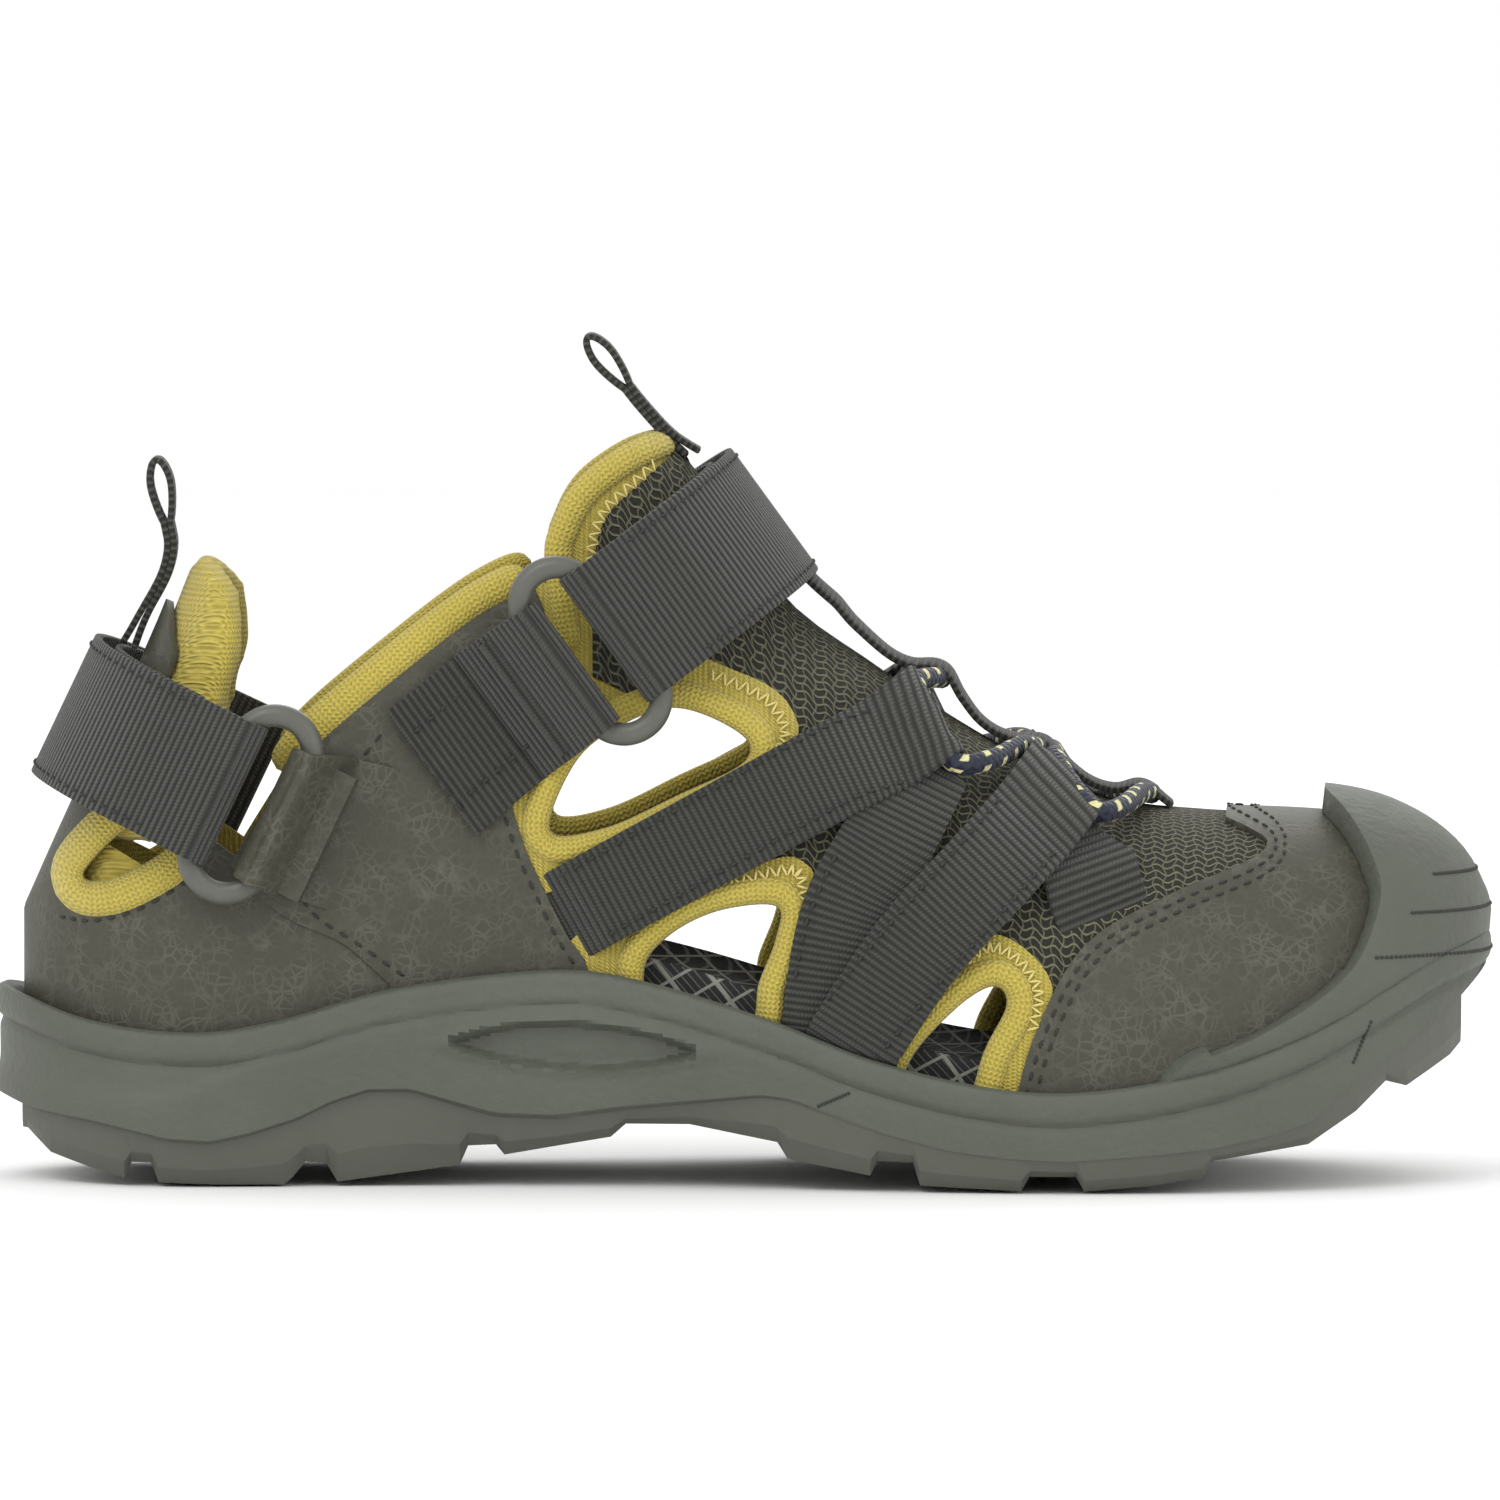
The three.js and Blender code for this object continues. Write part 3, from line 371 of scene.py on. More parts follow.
def put(piece, places, flat):
    """Moves a flat piece's points to their places, and keeps the flat pattern as its UV map."""
    mesh = piece.data
    mesh.vertices.foreach_set("co", np.asarray(places, float).reshape(-1))
    layer = mesh.uv_layers.active or mesh.uv_layers.new()
    layer.name = "pattern"
    layer = mesh.uv_layers["pattern"]
    corner = np.empty(len(mesh.loops), int)
    mesh.loops.foreach_get("vertex_index", corner)
    layer.data.foreach_set("uv", np.asarray(flat, float)[corner].reshape(-1))
    mesh.update()


def bolt(along, across, place):
    """A bolt of material: a grid whose points go where place(s, t) says, with its flat sizes."""
    bpy.ops.object.select_all(action="DESELECT")
    bpy.ops.mesh.primitive_grid_add(x_subdivisions=along, y_subdivisions=across, size=1)
    piece = bpy.context.object
    co = np.empty(len(piece.data.vertices) * 3)
    piece.data.vertices.foreach_get("co", co)
    s, t = (co.reshape(-1, 3)[:, :2] + 0.5).T
    places, flat = place(s, t)
    put(piece, places, flat)
    return piece


def thicken(piece, thickness, edge, offset=-1.0, segments=2):
    """Gives a sheet its thickness, inwards from its face, and softens its cut edges."""
    solid = piece.modifiers.new("thickness", "SOLIDIFY")
    solid.thickness = thickness
    solid.offset = offset
    soft = piece.modifiers.new("edge", "BEVEL")
    soft.width = edge
    soft.segments = segments
    soft.limit_method = "ANGLE"
    soft.angle_limit = math.radians(50)
    bpy.context.view_layer.objects.active = piece
    for modifier in ("thickness", "edge"):
        bpy.ops.object.modifier_apply(modifier=modifier)


def lines_at(line, s):
    """Places at shares s of a line's length."""
    gone = np.concatenate([[0], np.cumsum(np.linalg.norm(np.diff(line, axis=0), axis=1))])
    return np.stack([np.interp(np.asarray(s) * gone[-1], gone, line[:, k])
                     for k in range(line.shape[1])], -1)


# ---- Sole unit ---------------------------------------------------------------------------
# One moulding of soft foam: a cup whose wall leans out under the foot, a bead round its rim,
# a leaf-shaped hollow under the arch, and a wrinkled skin. The footbed lies in its recess.
SOLE_OUT = 0.0062
STATIONS = 210


def straight_line(points):
    along, value = np.array(points, float).T / 1000
    return lambda x: np.interp(x, along, value)


parting_line = straight_line([
    (-130, 16), (-118, 12.1), (-109, 10.8), (-103, 9.5), (-96, 7.9), (-89, 7.5), (-83, 8.8),
    (-75, 11.3), (-69, 14.2), (-63, 16.1), (-56, 16.1), (-49, 14), (-42, 12), (-32, 11.7),
    (-20, 13.4), (-8, 14.7), (2, 15.8), (7, 15.2), (13, 13), (23, 9.8), (33, 7.3), (43, 6.1),
    (52, 5.7), (66, 6.7), (76, 7.8), (86, 9.8), (93, 12), (98, 16.6), (103, 20.5), (109, 24.3),
    (115, 28.6), (130, 43)])


def ring_place(share, grow):
    """A place round the sole's outline: x, y and the plan direction straight out of it."""
    turn = 2 * np.pi * share
    from_, to = HEEL_END - grow, TOE_END + grow
    x = from_ + (to - from_) * (1 - np.cos(turn)) / 2
    side = np.where(np.sin(turn) >= 0, MEDIAL, LATERAL)
    y = side * half_width(side, x, grow)
    step = 1e-4

    def at(t):
        a = 2 * np.pi * t
        px = from_ + (to - from_) * (1 - np.cos(a)) / 2
        s = np.where(np.sin(a) >= 0, MEDIAL, LATERAL)
        return np.stack([px, s * half_width(s, px, grow)], -1)

    ahead = at(share + step) - at(share - step)
    ahead /= np.maximum(np.linalg.norm(ahead, axis=-1, keepdims=True), 1e-12)
    out = np.stack([ahead[:, 1], -ahead[:, 0]], -1)
    return x, y, out


def hollow(x, z, middle_line, half_height, from_, to, soft=0.0012):
    """How deep a long hollow is at a side-view place, from 0 outside it to 1 in it."""
    t = np.clip((x - from_) / (to - from_), 0, 1)
    half = half_height * np.sin(np.pi * t) ** 0.75
    inside = half - np.abs(z - middle_line(x))
    return np.clip(inside / soft + 0.5, 0, 1) * ((x > from_) & (x < to))


leaf_middle = smooth_line([(-50, 23.7), (-40, 23.6), (-28.5, 23.2), (-18, 22.8), (-8, 22.4)])
heel_ridge = smooth_line([(-124, 17.5), (-108, 15.5), (-96, 15), (-84, 20.5), (-70, 25.5),
                          (-56, 28.2), (-31, 31.2), (-14, 29), (5, 22.5), (20, 16.5)])
RIM_BEAD, BEAD_OUT, UNDERCUT = 0.0026, 0.0007, 0.0005
LEAST_WALL = 0.0015
LAP, WALL_LEAN = 0.0006, 0.0002
LEAF_DEEP, LEAF_HALF, LEAF_ENDS = 0.0022, 0.0036, (-0.0495, -0.0085)
LIP_OUT, LIP_HALF, LIP_ENDS = 0.0006, 0.0048, (-0.053, -0.005)
RIDGE_OUT, RIDGE_SOFT, RIDGE_END, RIDGE_FADE = 0.0011, 0.0007, 0.02, 0.03


def sole_unit_place(s, t):
    x, y, out = ring_place(s, SOLE_OUT)
    foot = parting_line(x)
    rim = np.maximum(rim_line(x), foot + LEAST_WALL)
    # The section, in order: under the sole to the wall's foot, up the wall, over the bead,
    # down behind it and in under the footbed.
    wall = np.clip((t - 0.1) / 0.6, 0, 1)
    z = foot + (rim - foot) * wall - LAP * (1 - wall) ** 8
    lean = -WALL_LEAN * (1 - wall) ** 2
    bead = BEAD_OUT * np.clip(1 - ((rim - z - RIM_BEAD) / RIM_BEAD) ** 2, 0, 1) ** 0.5
    bead = np.where(rim - z < 2 * RIM_BEAD, bead, 0)
    under_bead = -UNDERCUT * np.exp(-((rim - z - 2 * RIM_BEAD) / 0.0009) ** 2)
    in_leaf = hollow(x, z, leaf_middle, LEAF_HALF, *LEAF_ENDS)
    leaf = -LEAF_DEEP * in_leaf
    leaf_lip = LIP_OUT * (hollow(x, z, leaf_middle, LIP_HALF, *LIP_ENDS) - in_leaf)
    on_wall = (wall > 0.001) & (wall < 0.999)
    ridge = RIDGE_OUT / (1 + np.exp(-(heel_ridge(x) - z) / RIDGE_SOFT))
    ridge *= np.clip((RIDGE_END - x) / RIDGE_FADE, 0, 1)
    relief = np.where(on_wall, bead + under_bead + leaf + leaf_lip + ridge, 0) + lean
    px = x + out[:, 0] * relief
    py = y + out[:, 1] * relief
    # Over the rim and down inside it.
    inner = np.clip((t - 0.7) / 0.3, 0, 1)
    steps = np.array([0, 0.18, 0.36, 0.5, 0.66, 1.0])
    grow_in = np.interp(inner, steps, [SOLE_OUT, 0.0052, 0.0034, 0.0031, -0.0012, -0.0012])
    drop_in = np.interp(inner, steps, [0, -0.0004, 0.0005, 0.005, 0.0066, 0.0066])
    side = np.where(np.sin(2 * np.pi * s) >= 0, MEDIAL, LATERAL)
    from_ = HEEL_END - grow_in
    to = TOE_END + grow_in
    qx = from_ + (to - from_) * (1 - np.cos(2 * np.pi * s)) / 2
    heel = np.clip((HEEL_ROUND - qx) / (HEEL_ROUND - HEEL_END + grow_in), 0, 1)
    toe = np.clip((qx - TOE_ROUND) / (TOE_END + grow_in - TOE_ROUND), 0, 1)
    plan = np.where(side < 0, medial_plan(qx), lateral_plan(qx)) + grow_in
    qy = side * plan * np.sqrt(1 - heel ** 2) * (1 - toe ** SQUARENESS) ** (1 / SQUARENESS)
    over = inner > 0
    px = np.where(over, qx, px)
    py = np.where(over, qy, py)
    pz = np.where(over, np.maximum(rim_line(qx), parting_line(qx) + LEAST_WALL) - drop_in, z)
    # The section's two ends meet on the centre line, under the foot and under the footbed.
    px = np.where(t <= 0.0001, x, px)
    py = np.where((t <= 0.0001) | (t >= 0.9999), 0, py)
    flat = np.stack([s * 0.62, t * 0.06], -1)
    return np.stack([px, py, pz], -1), flat


def sole_foam_finish(start):
    place = object_place(start)
    cell = start.node("ShaderNodeTexVoronoi", {"Vector": place, "Scale": 620.0}, 0,
                      feature="F1")
    pebble = noise(start, place, 900.0, 4.0, 0.6)
    wrinkle = noise(start, place, 260.0, 5.0, 0.7)
    tone = noise(start, place, 45.0, 3.0)
    colour = (tone * 0.7 + pebble * 0.3).blend((0.066, 0.072, 0.055), (0.108, 0.116, 0.092))
    height = pebble * 0.5 + wrinkle * 0.8 + cell * 0.3
    return {"Base Color": colour, "Normal": height.bump(0.00035),
            "Roughness": wrinkle * 0.2 + 0.48}


sole_foam = finish("sole_foam", sole_foam_finish)
sole_unit = bolt(2 * STATIONS, 60, sole_unit_place)
sew_up(sole_unit, "sole_unit", "shoe", sole_foam, ["midsole"])


# ---- Outsole -----------------------------------------------------------------------------
# Hard-wearing rubber, moulded with deep lugs and bonded under the foam unit. It is the CAD's
# own piece, given its rubber here.
def sole_rubber_finish(start):
    place = object_place(start)
    grain = noise(start, place, 700.0, 4.0)
    scuff = noise(start, place, 60.0, 5.0, 0.65)
    colour = scuff.blend((0.072, 0.076, 0.060), (0.108, 0.113, 0.092))
    return {"Base Color": colour, "Normal": (grain + scuff).bump(0.00015),
            "Roughness": scuff * 0.25 + 0.45}


sole_rubber = finish("sole_rubber", sole_rubber_finish)


def reface(name, material):
    """Gives a CAD node's own mesh a better material."""
    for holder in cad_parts[name].material_slots:
        holder.material = material


reface("outsole", sole_rubber)


# ---- Board and stiffeners ----------------------------------------------------------------
# Fibre board: the insole board glued in the recess, and the toe stiffener between the lining
# and the leather. They hardly show. The heel stiffener takes its knit cover with the linings.
def board_finish(start):
    fleck = noise(start, object_place(start), 420.0, 6.0, 0.7)
    colour = fleck.blend((0.50, 0.46, 0.36), (0.70, 0.66, 0.55))
    return {"Base Color": colour, "Normal": fleck.bump(0.0001)}


board = finish("board", board_finish, rough=0.9)
for hidden in ("strobel_board", "toe_stiffener"):
    reface(hidden, board)


# ---- Footbed -----------------------------------------------------------------------------
# Moulded foam with a printed knit cover: dark, with a pale grid of fine lines and a raised
# cupped edge. It lies loose in the sole's recess.
def footbed_finish(start):
    place = object_place(start)
    x, y, z = (axis_of(place, name) for name in "XYZ")
    grid = ((x + y * 0.55 + z * 0.7).wave(0.0062).over(0.96, 0.012)
            .maths("MAXIMUM", (y - x * 0.5 + z * 1.4).wave(0.0062).over(0.96, 0.012)))
    fine = (x - y * 0.8 + z).wave(0.0018).over(0.9, 0.05) * 0.35
    knit = noise(start, place, 1400.0, 2.0)
    lines = grid.maths("MAXIMUM", fine)
    colour = lines.blend((0.022, 0.023, 0.024), (0.30, 0.30, 0.27))
    return {"Base Color": colour, "Normal": (knit + lines * 0.6).bump(0.00015)}


footbed_foam = finish("footbed_foam", footbed_finish, rough=0.85)
FOOTBED_GROW = -0.0024
FOOTBED_BELOW_RIM = 0.0044


def footbed_place(s, t):
    """t runs from the middle of the top, over the cupped edge, round to the middle below."""
    x, y, _ = ring_place(s, FOOTBED_GROW)
    floor_ = rim_line(x) - FOOTBED_BELOW_RIM
    share = np.interp(t, [0, 0.45, 0.55, 0.62, 0.68, 0.8, 1], [0, 0.90, 0.975, 1, 1, 0.97, 0])
    cup = np.interp(t, [0, 0.35, 0.55, 0.6, 0.66, 0.8, 1],
                    [0.0036, 0.0038, 0.0075, 0.0084, 0.0082, 0, 0])
    return (np.stack([x, y * share, floor_ + cup], -1),
            np.stack([x, y * share], -1))


def close_up(piece):
    """Joins a rolled-up sheet's edges and turns its faces outwards."""
    weld(1e-6)
    bpy.ops.object.mode_set(mode="EDIT")
    bpy.ops.mesh.normals_make_consistent(inside=False)
    bpy.ops.object.mode_set(mode="OBJECT")
    if sum(p.area * p.center.dot(p.normal) for p in piece.data.polygons) < 0:
        piece.data.flip_normals()
    return piece


footbed = close_up(bolt(240, 30, footbed_place))
sew_up(footbed, "footbed_cover", "shoe", footbed_foam, ["footbed"])


# ---- Leather upper -----------------------------------------------------------------------
# Synthetic leather with a crackled grain, cut from flat patterns, laid on the last and closed
# over the knitted lining: a heel piece, two quarters with the ring tabs, and a toe cap.
LEATHER_TOP = 0.0026
LEATHER = 0.0013
HEM_ANGLE = math.pi / 2 + 0.07
U_LINES, ANGLE_LINES = 96, 40


def leather_finish(start):
    place = object_place(start)
    warp = start.node("ShaderNodeTexNoise", {"Vector": place, "Scale": 180.0, "Detail": 2.0},
                      "Color")
    bent = start.node("ShaderNodeVectorMath", {0: warp, 1: (0.0016, 0.0016, 0.0016), 2: place},
                      operation="MULTIPLY_ADD")
    cracks = start.node("ShaderNodeTexVoronoi", {"Vector": bent, "Scale": 470.0}, "Distance",
                        feature="DISTANCE_TO_EDGE")
    broad = start.node("ShaderNodeTexVoronoi", {"Vector": bent, "Scale": 330.0}, "Distance",
                       feature="DISTANCE_TO_EDGE")
    vein = 1 - cracks.over(0.06, 0.05)
    wide_vein = 1 - broad.over(0.045, 0.04)
    patchy = noise(start, place, 170.0, 4.0).over(0.52, 0.10)
    veins = (vein * (patchy * 0.26 + 0.05)).maths("MAXIMUM", wide_vein * (patchy * 0.30 + 0.06))
    tone = noise(start, place, 30.0, 3.0)
    base = tone.blend((0.054, 0.053, 0.038), (0.068, 0.067, 0.049))
    colour = veins.node("ShaderNodeMix", {0: veins, 6: base, 7: (0.170, 0.168, 0.135, 1)}, 2,
                        data_type="RGBA")
    grain = noise(start, place, 1500.0, 3.0)
    return {"Base Color": colour, "Normal": (grain * 0.4 - veins * 0.7).bump(0.00022),
            "Roughness": veins * 0.1 + 0.52}


leather = finish("synthetic_leather", leather_finish, specular=0.3)


def girth(u, angle):
    """How far round the last a place is from its ridge."""
    steps = np.linspace(0, 1, 24)
    path = on_last(np.repeat(u[:, None], 24, 1), np.clip(angle, -HEM_ANGLE, HEM_ANGLE)[:, None]
                   * steps)
    return np.sign(angle) * np.linalg.norm(np.diff(path, axis=1), axis=-1).sum(1)


def cut_panel(outline, lift, thickness, edge=0.0004):
    """A flat pattern of (u, angle) places, cut into a fine net and laid on the last."""
    bpy.ops.object.select_all(action="DESELECT")
    bpy.ops.mesh.primitive_circle_add(vertices=len(outline), radius=1, fill_type="NGON")
    piece = bpy.context.object
    mesh = piece.data
    flat = np.hstack([outline, np.zeros((len(outline), 1))])
    mesh.vertices.foreach_set("co", flat.reshape(-1))
    mesh.update()
    bpy.ops.object.mode_set(mode="EDIT")
    for axis, step in ((0, 1 / U_LINES), (1, math.pi / ANGLE_LINES)):
        first = math.floor(outline[:, axis].min() / step) + 1
        for k in range(first, math.ceil(outline[:, axis].max() / step)):
            bpy.ops.mesh.select_all(action="SELECT")
            cut = [0.0, 0.0, 0.0]
            normal = [0.0, 0.0, 0.0]
            cut[axis], normal[axis] = k * step, 1.0
            bpy.ops.mesh.bisect(plane_co=cut, plane_no=normal)
    if sum(p.area * p.normal.z for p in mesh.polygons) < 0:
        bpy.ops.mesh.select_all(action="SELECT")
        bpy.ops.mesh.flip_normals()
    bpy.ops.object.mode_set(mode="OBJECT")
    if sum(p.area * p.normal.z for p in mesh.polygons) < 0:
        mesh.flip_normals()
    co = np.empty(len(mesh.vertices) * 3)
    mesh.vertices.foreach_get("co", co)
    u, angle = co.reshape(-1, 3)[:, :2].T
    u = np.clip(u, 0, 1)
    places = lasted(u, angle, lift(u, angle) if callable(lift) else lift)
    put(piece, places, np.stack([places[:, 0], girth(u, angle)], -1))
    weld(1e-5)
    thicken(piece, thickness, edge)
    return piece


def side_line(points, side, lift):
    """A side-view line in millimetres, as (u, angle) places that stop below the sole's rim."""
    found = laid(np.asarray(points, float) / 1000, side, lift)
    found[:, 1] = np.clip(found[:, 1], -HEM_ANGLE, HEM_ANGLE)
    return found


def wrap(rear, front, lift):
    """The outline of a piece that crosses the ridge, between two lines from ridge to hem. A
    line that is only a number is the heel's end, 0, or the toe's end, 1."""
    def edge(line, side):
        if isinstance(line, int):
            return np.stack([np.full(14, float(line)), side * np.linspace(0, HEM_ANGLE, 14)], -1)
        return side_line(line, side, lift)

    parts = [edge(rear, MEDIAL)[::-1], edge(rear, LATERAL)[1:],
             edge(front, LATERAL)[::-1], edge(front, MEDIAL)[1:]]
    return np.vstack(parts)


def densify(line, count):
    return even(spline(line, 6), count)


WINDOWS = {
    "heel": [(-110.5, 50.5), (-105, 50.5), (-96, 56), (-98, 60.5), (-104.5, 57.5)],
    "instep": [(-33, 58.5), (-24, 59), (-12, 64.5), (-1, 70), (-1.5, 74.5), (-12, 78.8),
               (-22, 75.5), (-29, 69.5)],
    "arch": [(-15, 29), (-1, 26), (1.5, 34), (4.2, 41), (4.4, 46.4), (-5, 45.6), (-13, 41.6),
             (-17.4, 36)],
    "forefoot": [(25, 13), (34, 11), (38.5, 23), (42.2, 30.6), (40, 33.6), (34, 30),
                 (26.5, 21.5)],
}
BINDING = 4.4


def outwards(line, distance):
    """A closed side-view outline moved outwards."""
    left = sideways(line, closed=True)
    area = np.cross(line, np.roll(line, -1, 0)).sum()
    return line - left * distance * np.sign(area)


def punch(piece, windows):
    """Cuts windows through a piece on both sides, under the middle of their bindings."""
    for name in windows:
        hole = outwards(even(spline(WINDOWS[name], 16, closed=True), 60, closed=True),
                        0.55 * BINDING) / 1000
        bpy.ops.object.select_all(action="DESELECT")
        bpy.ops.mesh.primitive_circle_add(vertices=len(hole), radius=1, fill_type="NGON")
        punch_tool = bpy.context.object
        flat = np.stack([hole[:, 0], np.full(len(hole), -0.1), hole[:, 1]], -1)
        punch_tool.data.vertices.foreach_set("co", flat.reshape(-1))
        bpy.ops.object.mode_set(mode="EDIT")
        bpy.ops.mesh.select_all(action="SELECT")
        bpy.ops.mesh.extrude_region_move(TRANSFORM_OT_translate={"value": (0, 0.2, 0)})
        bpy.ops.mesh.select_all(action="SELECT")
        bpy.ops.mesh.normals_make_consistent(inside=False)
        bpy.ops.object.mode_set(mode="OBJECT")
        cut = piece.modifiers.new("window", "BOOLEAN")
        cut.operation = "DIFFERENCE"
        cut.solver = "EXACT"
        cut.object = punch_tool
        bpy.ops.object.select_all(action="DESELECT")
        piece.select_set(True)
        bpy.context.view_layer.objects.active = piece
        bpy.ops.object.modifier_apply(modifier="window")
        bpy.data.objects.remove(punch_tool)


heel_edge = [(-98, 91.5), (-96.5, 90), (-96.5, 86), (-100.5, 78), (-105, 68), (-101, 62),
             (-93, 59.5), (-86, 55), (-80, 50.5), (-73, 46), (-65, 42), (-57, 36), (-53, 20)]
heel_cut = wrap(0, densify(heel_edge, 60), LEATHER_TOP)
heel_leather = cut_panel(heel_cut, LEATHER_TOP - 0.0004, LEATHER)
punch(heel_leather, ["heel"])
sew_up(heel_leather, "heel_leather", "shoe", leather, ["heel_overlay"])

toe_edge = [(79, 60), (83, 58.3), (85.8, 56.3), (82.3, 53.5), (68.9, 48.2), (55, 40.2),
            (46.8, 25.7), (42.5, 10)]
toe_cut = wrap(densify(toe_edge, 60), 1, LEATHER_TOP)
toe_leather = cut_panel(toe_cut, LEATHER_TOP, LEATHER)
sew_up(toe_leather, "toe_leather", "shoe", leather, ["toe_cap"])

collar = spline([(-77, 67.5), (-70.5, 74.5), (-58.5, 84.5), (-46, 94), (-36, 99.5)], 10)
quarter_cut = np.vstack([
    collar, spline([(-34, 95), (-36, 84), (-38.6, 75), (-39.8, 66), (-37.6, 57), (-34.6, 50),
                    (-30.4, 41.5), (-26.6, 35), (-25, 20)], 8),
    [(-60, 18)], spline([(-59.5, 33), (-67.2, 39.8), (-75.4, 43.5), (-82, 48.3), (-86, 53)], 6)])
for side, word in ((MEDIAL, "medial"), (LATERAL, "lateral")):
    quarter_leather = cut_panel(side_line(quarter_cut, side, LEATHER_TOP), LEATHER_TOP, LEATHER)
    sew_up(quarter_leather, f"quarter_leather_{word}", "shoe", leather,
           [f"quarter_{word}"])



# ---- Mesh vamp and tongue ----------------------------------------------------------------
# Open warp-knit mesh: dark cloth under a lattice of pale zigzag threads. One piece covers the
# forefoot under the webbing, and one stands up as the tongue.
MESH_TOP = 0.0016


def mesh_finish(start):
    pattern = start.node("ShaderNodeUVMap", uv_map="pattern")
    x, y = axis_of(pattern, "X"), axis_of(pattern, "Y")
    sway = noise(start, pattern, 120.0, 2.0) * 0.0007
    lean = (x * (2 * math.pi / 0.0034)).maths("SINE") * 0.0005
    row = (y + lean + sway).maths("PINGPONG", 0.00080) / 0.00080
    post = (x + sway + (y * (2 * math.pi / 0.0042)).maths("SINE") * 0.0003).maths(
        "PINGPONG", 0.00085) / 0.00085
    threads = row.over(0.72, 0.16).maths("MAXIMUM", post.over(0.8, 0.12) * 0.65)
    strand = noise(start, pattern, 2600.0, 2.0)
    shade = threads * (strand * 0.6 + 0.55)
    colour = shade.blend((0.010, 0.010, 0.006), (0.215, 0.212, 0.130))
    return {"Base Color": colour, "Normal": (threads + strand * 0.3).bump(0.0006)}


mesh_fabric = finish("mesh_fabric", mesh_finish, rough=0.8)
vamp_front = [(84, 61), (88, 58), (86, 54), (72, 48), (58, 40), (50, 25), (46, 10)]
vamp_cut = wrap(densify([(3, 99), (-6, 98), (-16, 88), (-20, 75), (-24, 60), (-26, 20)], 50),
                densify(vamp_front, 50), MESH_TOP)
vamp = cut_panel(vamp_cut, MESH_TOP, 0.0011)
punch(vamp, ["instep", "arch", "forefoot"])
sew_up(vamp, "mesh_vamp", "shoe", mesh_fabric, ["vamp_mesh"])

tongue_front = densify([(2, 100), (-6, 99), (-14, 90), (-18, 80)], 40)
tongue_cut = wrap(densify([(-12.5, 120), (-15, 118.3), (-19.8, 114.2), (-23.5, 110.5),
                           (-25.3, 105.7), (-26, 98), (-26, 84)], 40), tongue_front, 0.0026)
tongue_mesh = cut_panel(tongue_cut, 0.0026, 0.0012)
sew_up(tongue_mesh, "tongue_mesh", "shoe", mesh_fabric, ["tongue"])


# ---- Knitted bindings and linings --------------------------------------------------------
# Soft mustard knit over foam. It binds every window and the collar as a padded roll, and
# lines the quarters and the heel.
def knit_finish(start, by_shape=False):
    place = object_place(start)
    pattern = start.node("ShaderNodeUVMap", uv_map="pattern")
    u, v = axis_of(pattern, "X"), axis_of(pattern, "Y")
    if by_shape:
        u, v = axis_of(place, "Z"), axis_of(place, "X") * 0.8 + axis_of(place, "Y")
    wale = (v + (u * (2 * math.pi / 0.0011)).maths("SINE") * 0.00012).wave(0.00062)
    course = (u + (v * (2 * math.pi / 0.00062)).maths("SINE") * 0.0001).wave(0.00085)
    tone = noise(start, place, 90.0, 4.0)
    fuzz = noise(start, place, 1800.0, 3.0)
    loops = wale * 0.55 + course * 0.45
    base = tone.blend((0.56, 0.45, 0.070), (0.72, 0.60, 0.125))
    colour = start.node("ShaderNodeMix", {0: 1 - loops * 0.75 - fuzz * 0.25, 6: base,
                                          7: (0.31, 0.24, 0.030, 1)}, 2, data_type="RGBA")
    return {"Base Color": colour, "Normal": (loops + fuzz * 0.5).bump(0.00028)}


yellow_knit = finish("yellow_knit", knit_finish, rough=0.9, sheen=0.2)
cushion_knit = finish("cushion_knit", lambda start: knit_finish(start, True), rough=0.9,
                      sheen=0.2)
reface("heel_stiffener", cushion_knit)


def roll(line, side, half, lift, high, closed, count=110):
    """A padded roll along a side-view line in millimetres, laid on the last."""
    path = even(line, count, closed)
    left = sideways(path, closed)
    total = length_of(path) / 1000

    def place(s, t):
        k = s * (count if closed else count - 1)
        i = np.floor(k).astype(int)
        f = (k - i)[:, None]
        a, b = (i % count, (i + 1) % count) if closed else (i, np.minimum(i + 1, count - 1))
        centre = path[a] * (1 - f) + path[b] * f
        across = left[a] * (1 - f) + left[b] * f
        turn = 2 * np.pi * t
        slim = np.sqrt(np.clip(1 - (2 * s - 1) ** 16, 0, 1)) if not closed else 1.0
        spot = (centre + across * (half * np.cos(turn) * slim)[:, None]) / 1000
        height = lift + high * np.sin(turn) * slim
        found = laid(spot, side, height)
        return (lasted(found[:, 0], found[:, 1], height),
                np.stack([s * total, t * 0.004 * half], -1))

    piece = bolt(count if closed else count - 1, 14, place)
    return close_up(piece)


KNIT_PANELS = {
    "instep": [(-41, 74), (-41, 64), (-38, 55), (-35, 48), (-20, 55), (0, 66), (7.6, 73),
               (7.2, 78), (3.4, 82.2), (-5, 86), (-14, 90), (-27, 96), (-36, 98)],
    "arch": [(-30, 40), (-14, 47), (3, 54), (8.5, 54), (10.9, 49.6), (8, 37), (5, 22),
             (-14, 22), (-27, 28)],
    "forefoot": [(20, 14), (21.2, 23.3), (28, 33), (34.5, 39.5), (39.8, 42.2), (45.6, 39.5),
                 (49.8, 33.5), (48, 25), (44, 10), (30, 8)],
}
tongue_rim = spline([(-29.5, 88), (-31.6, 102.8), (-30.6, 108.2), (-27.2, 114.2), (-20.5, 119.3),
                     (-14, 122.0), (-9.5, 123.6)], 8)
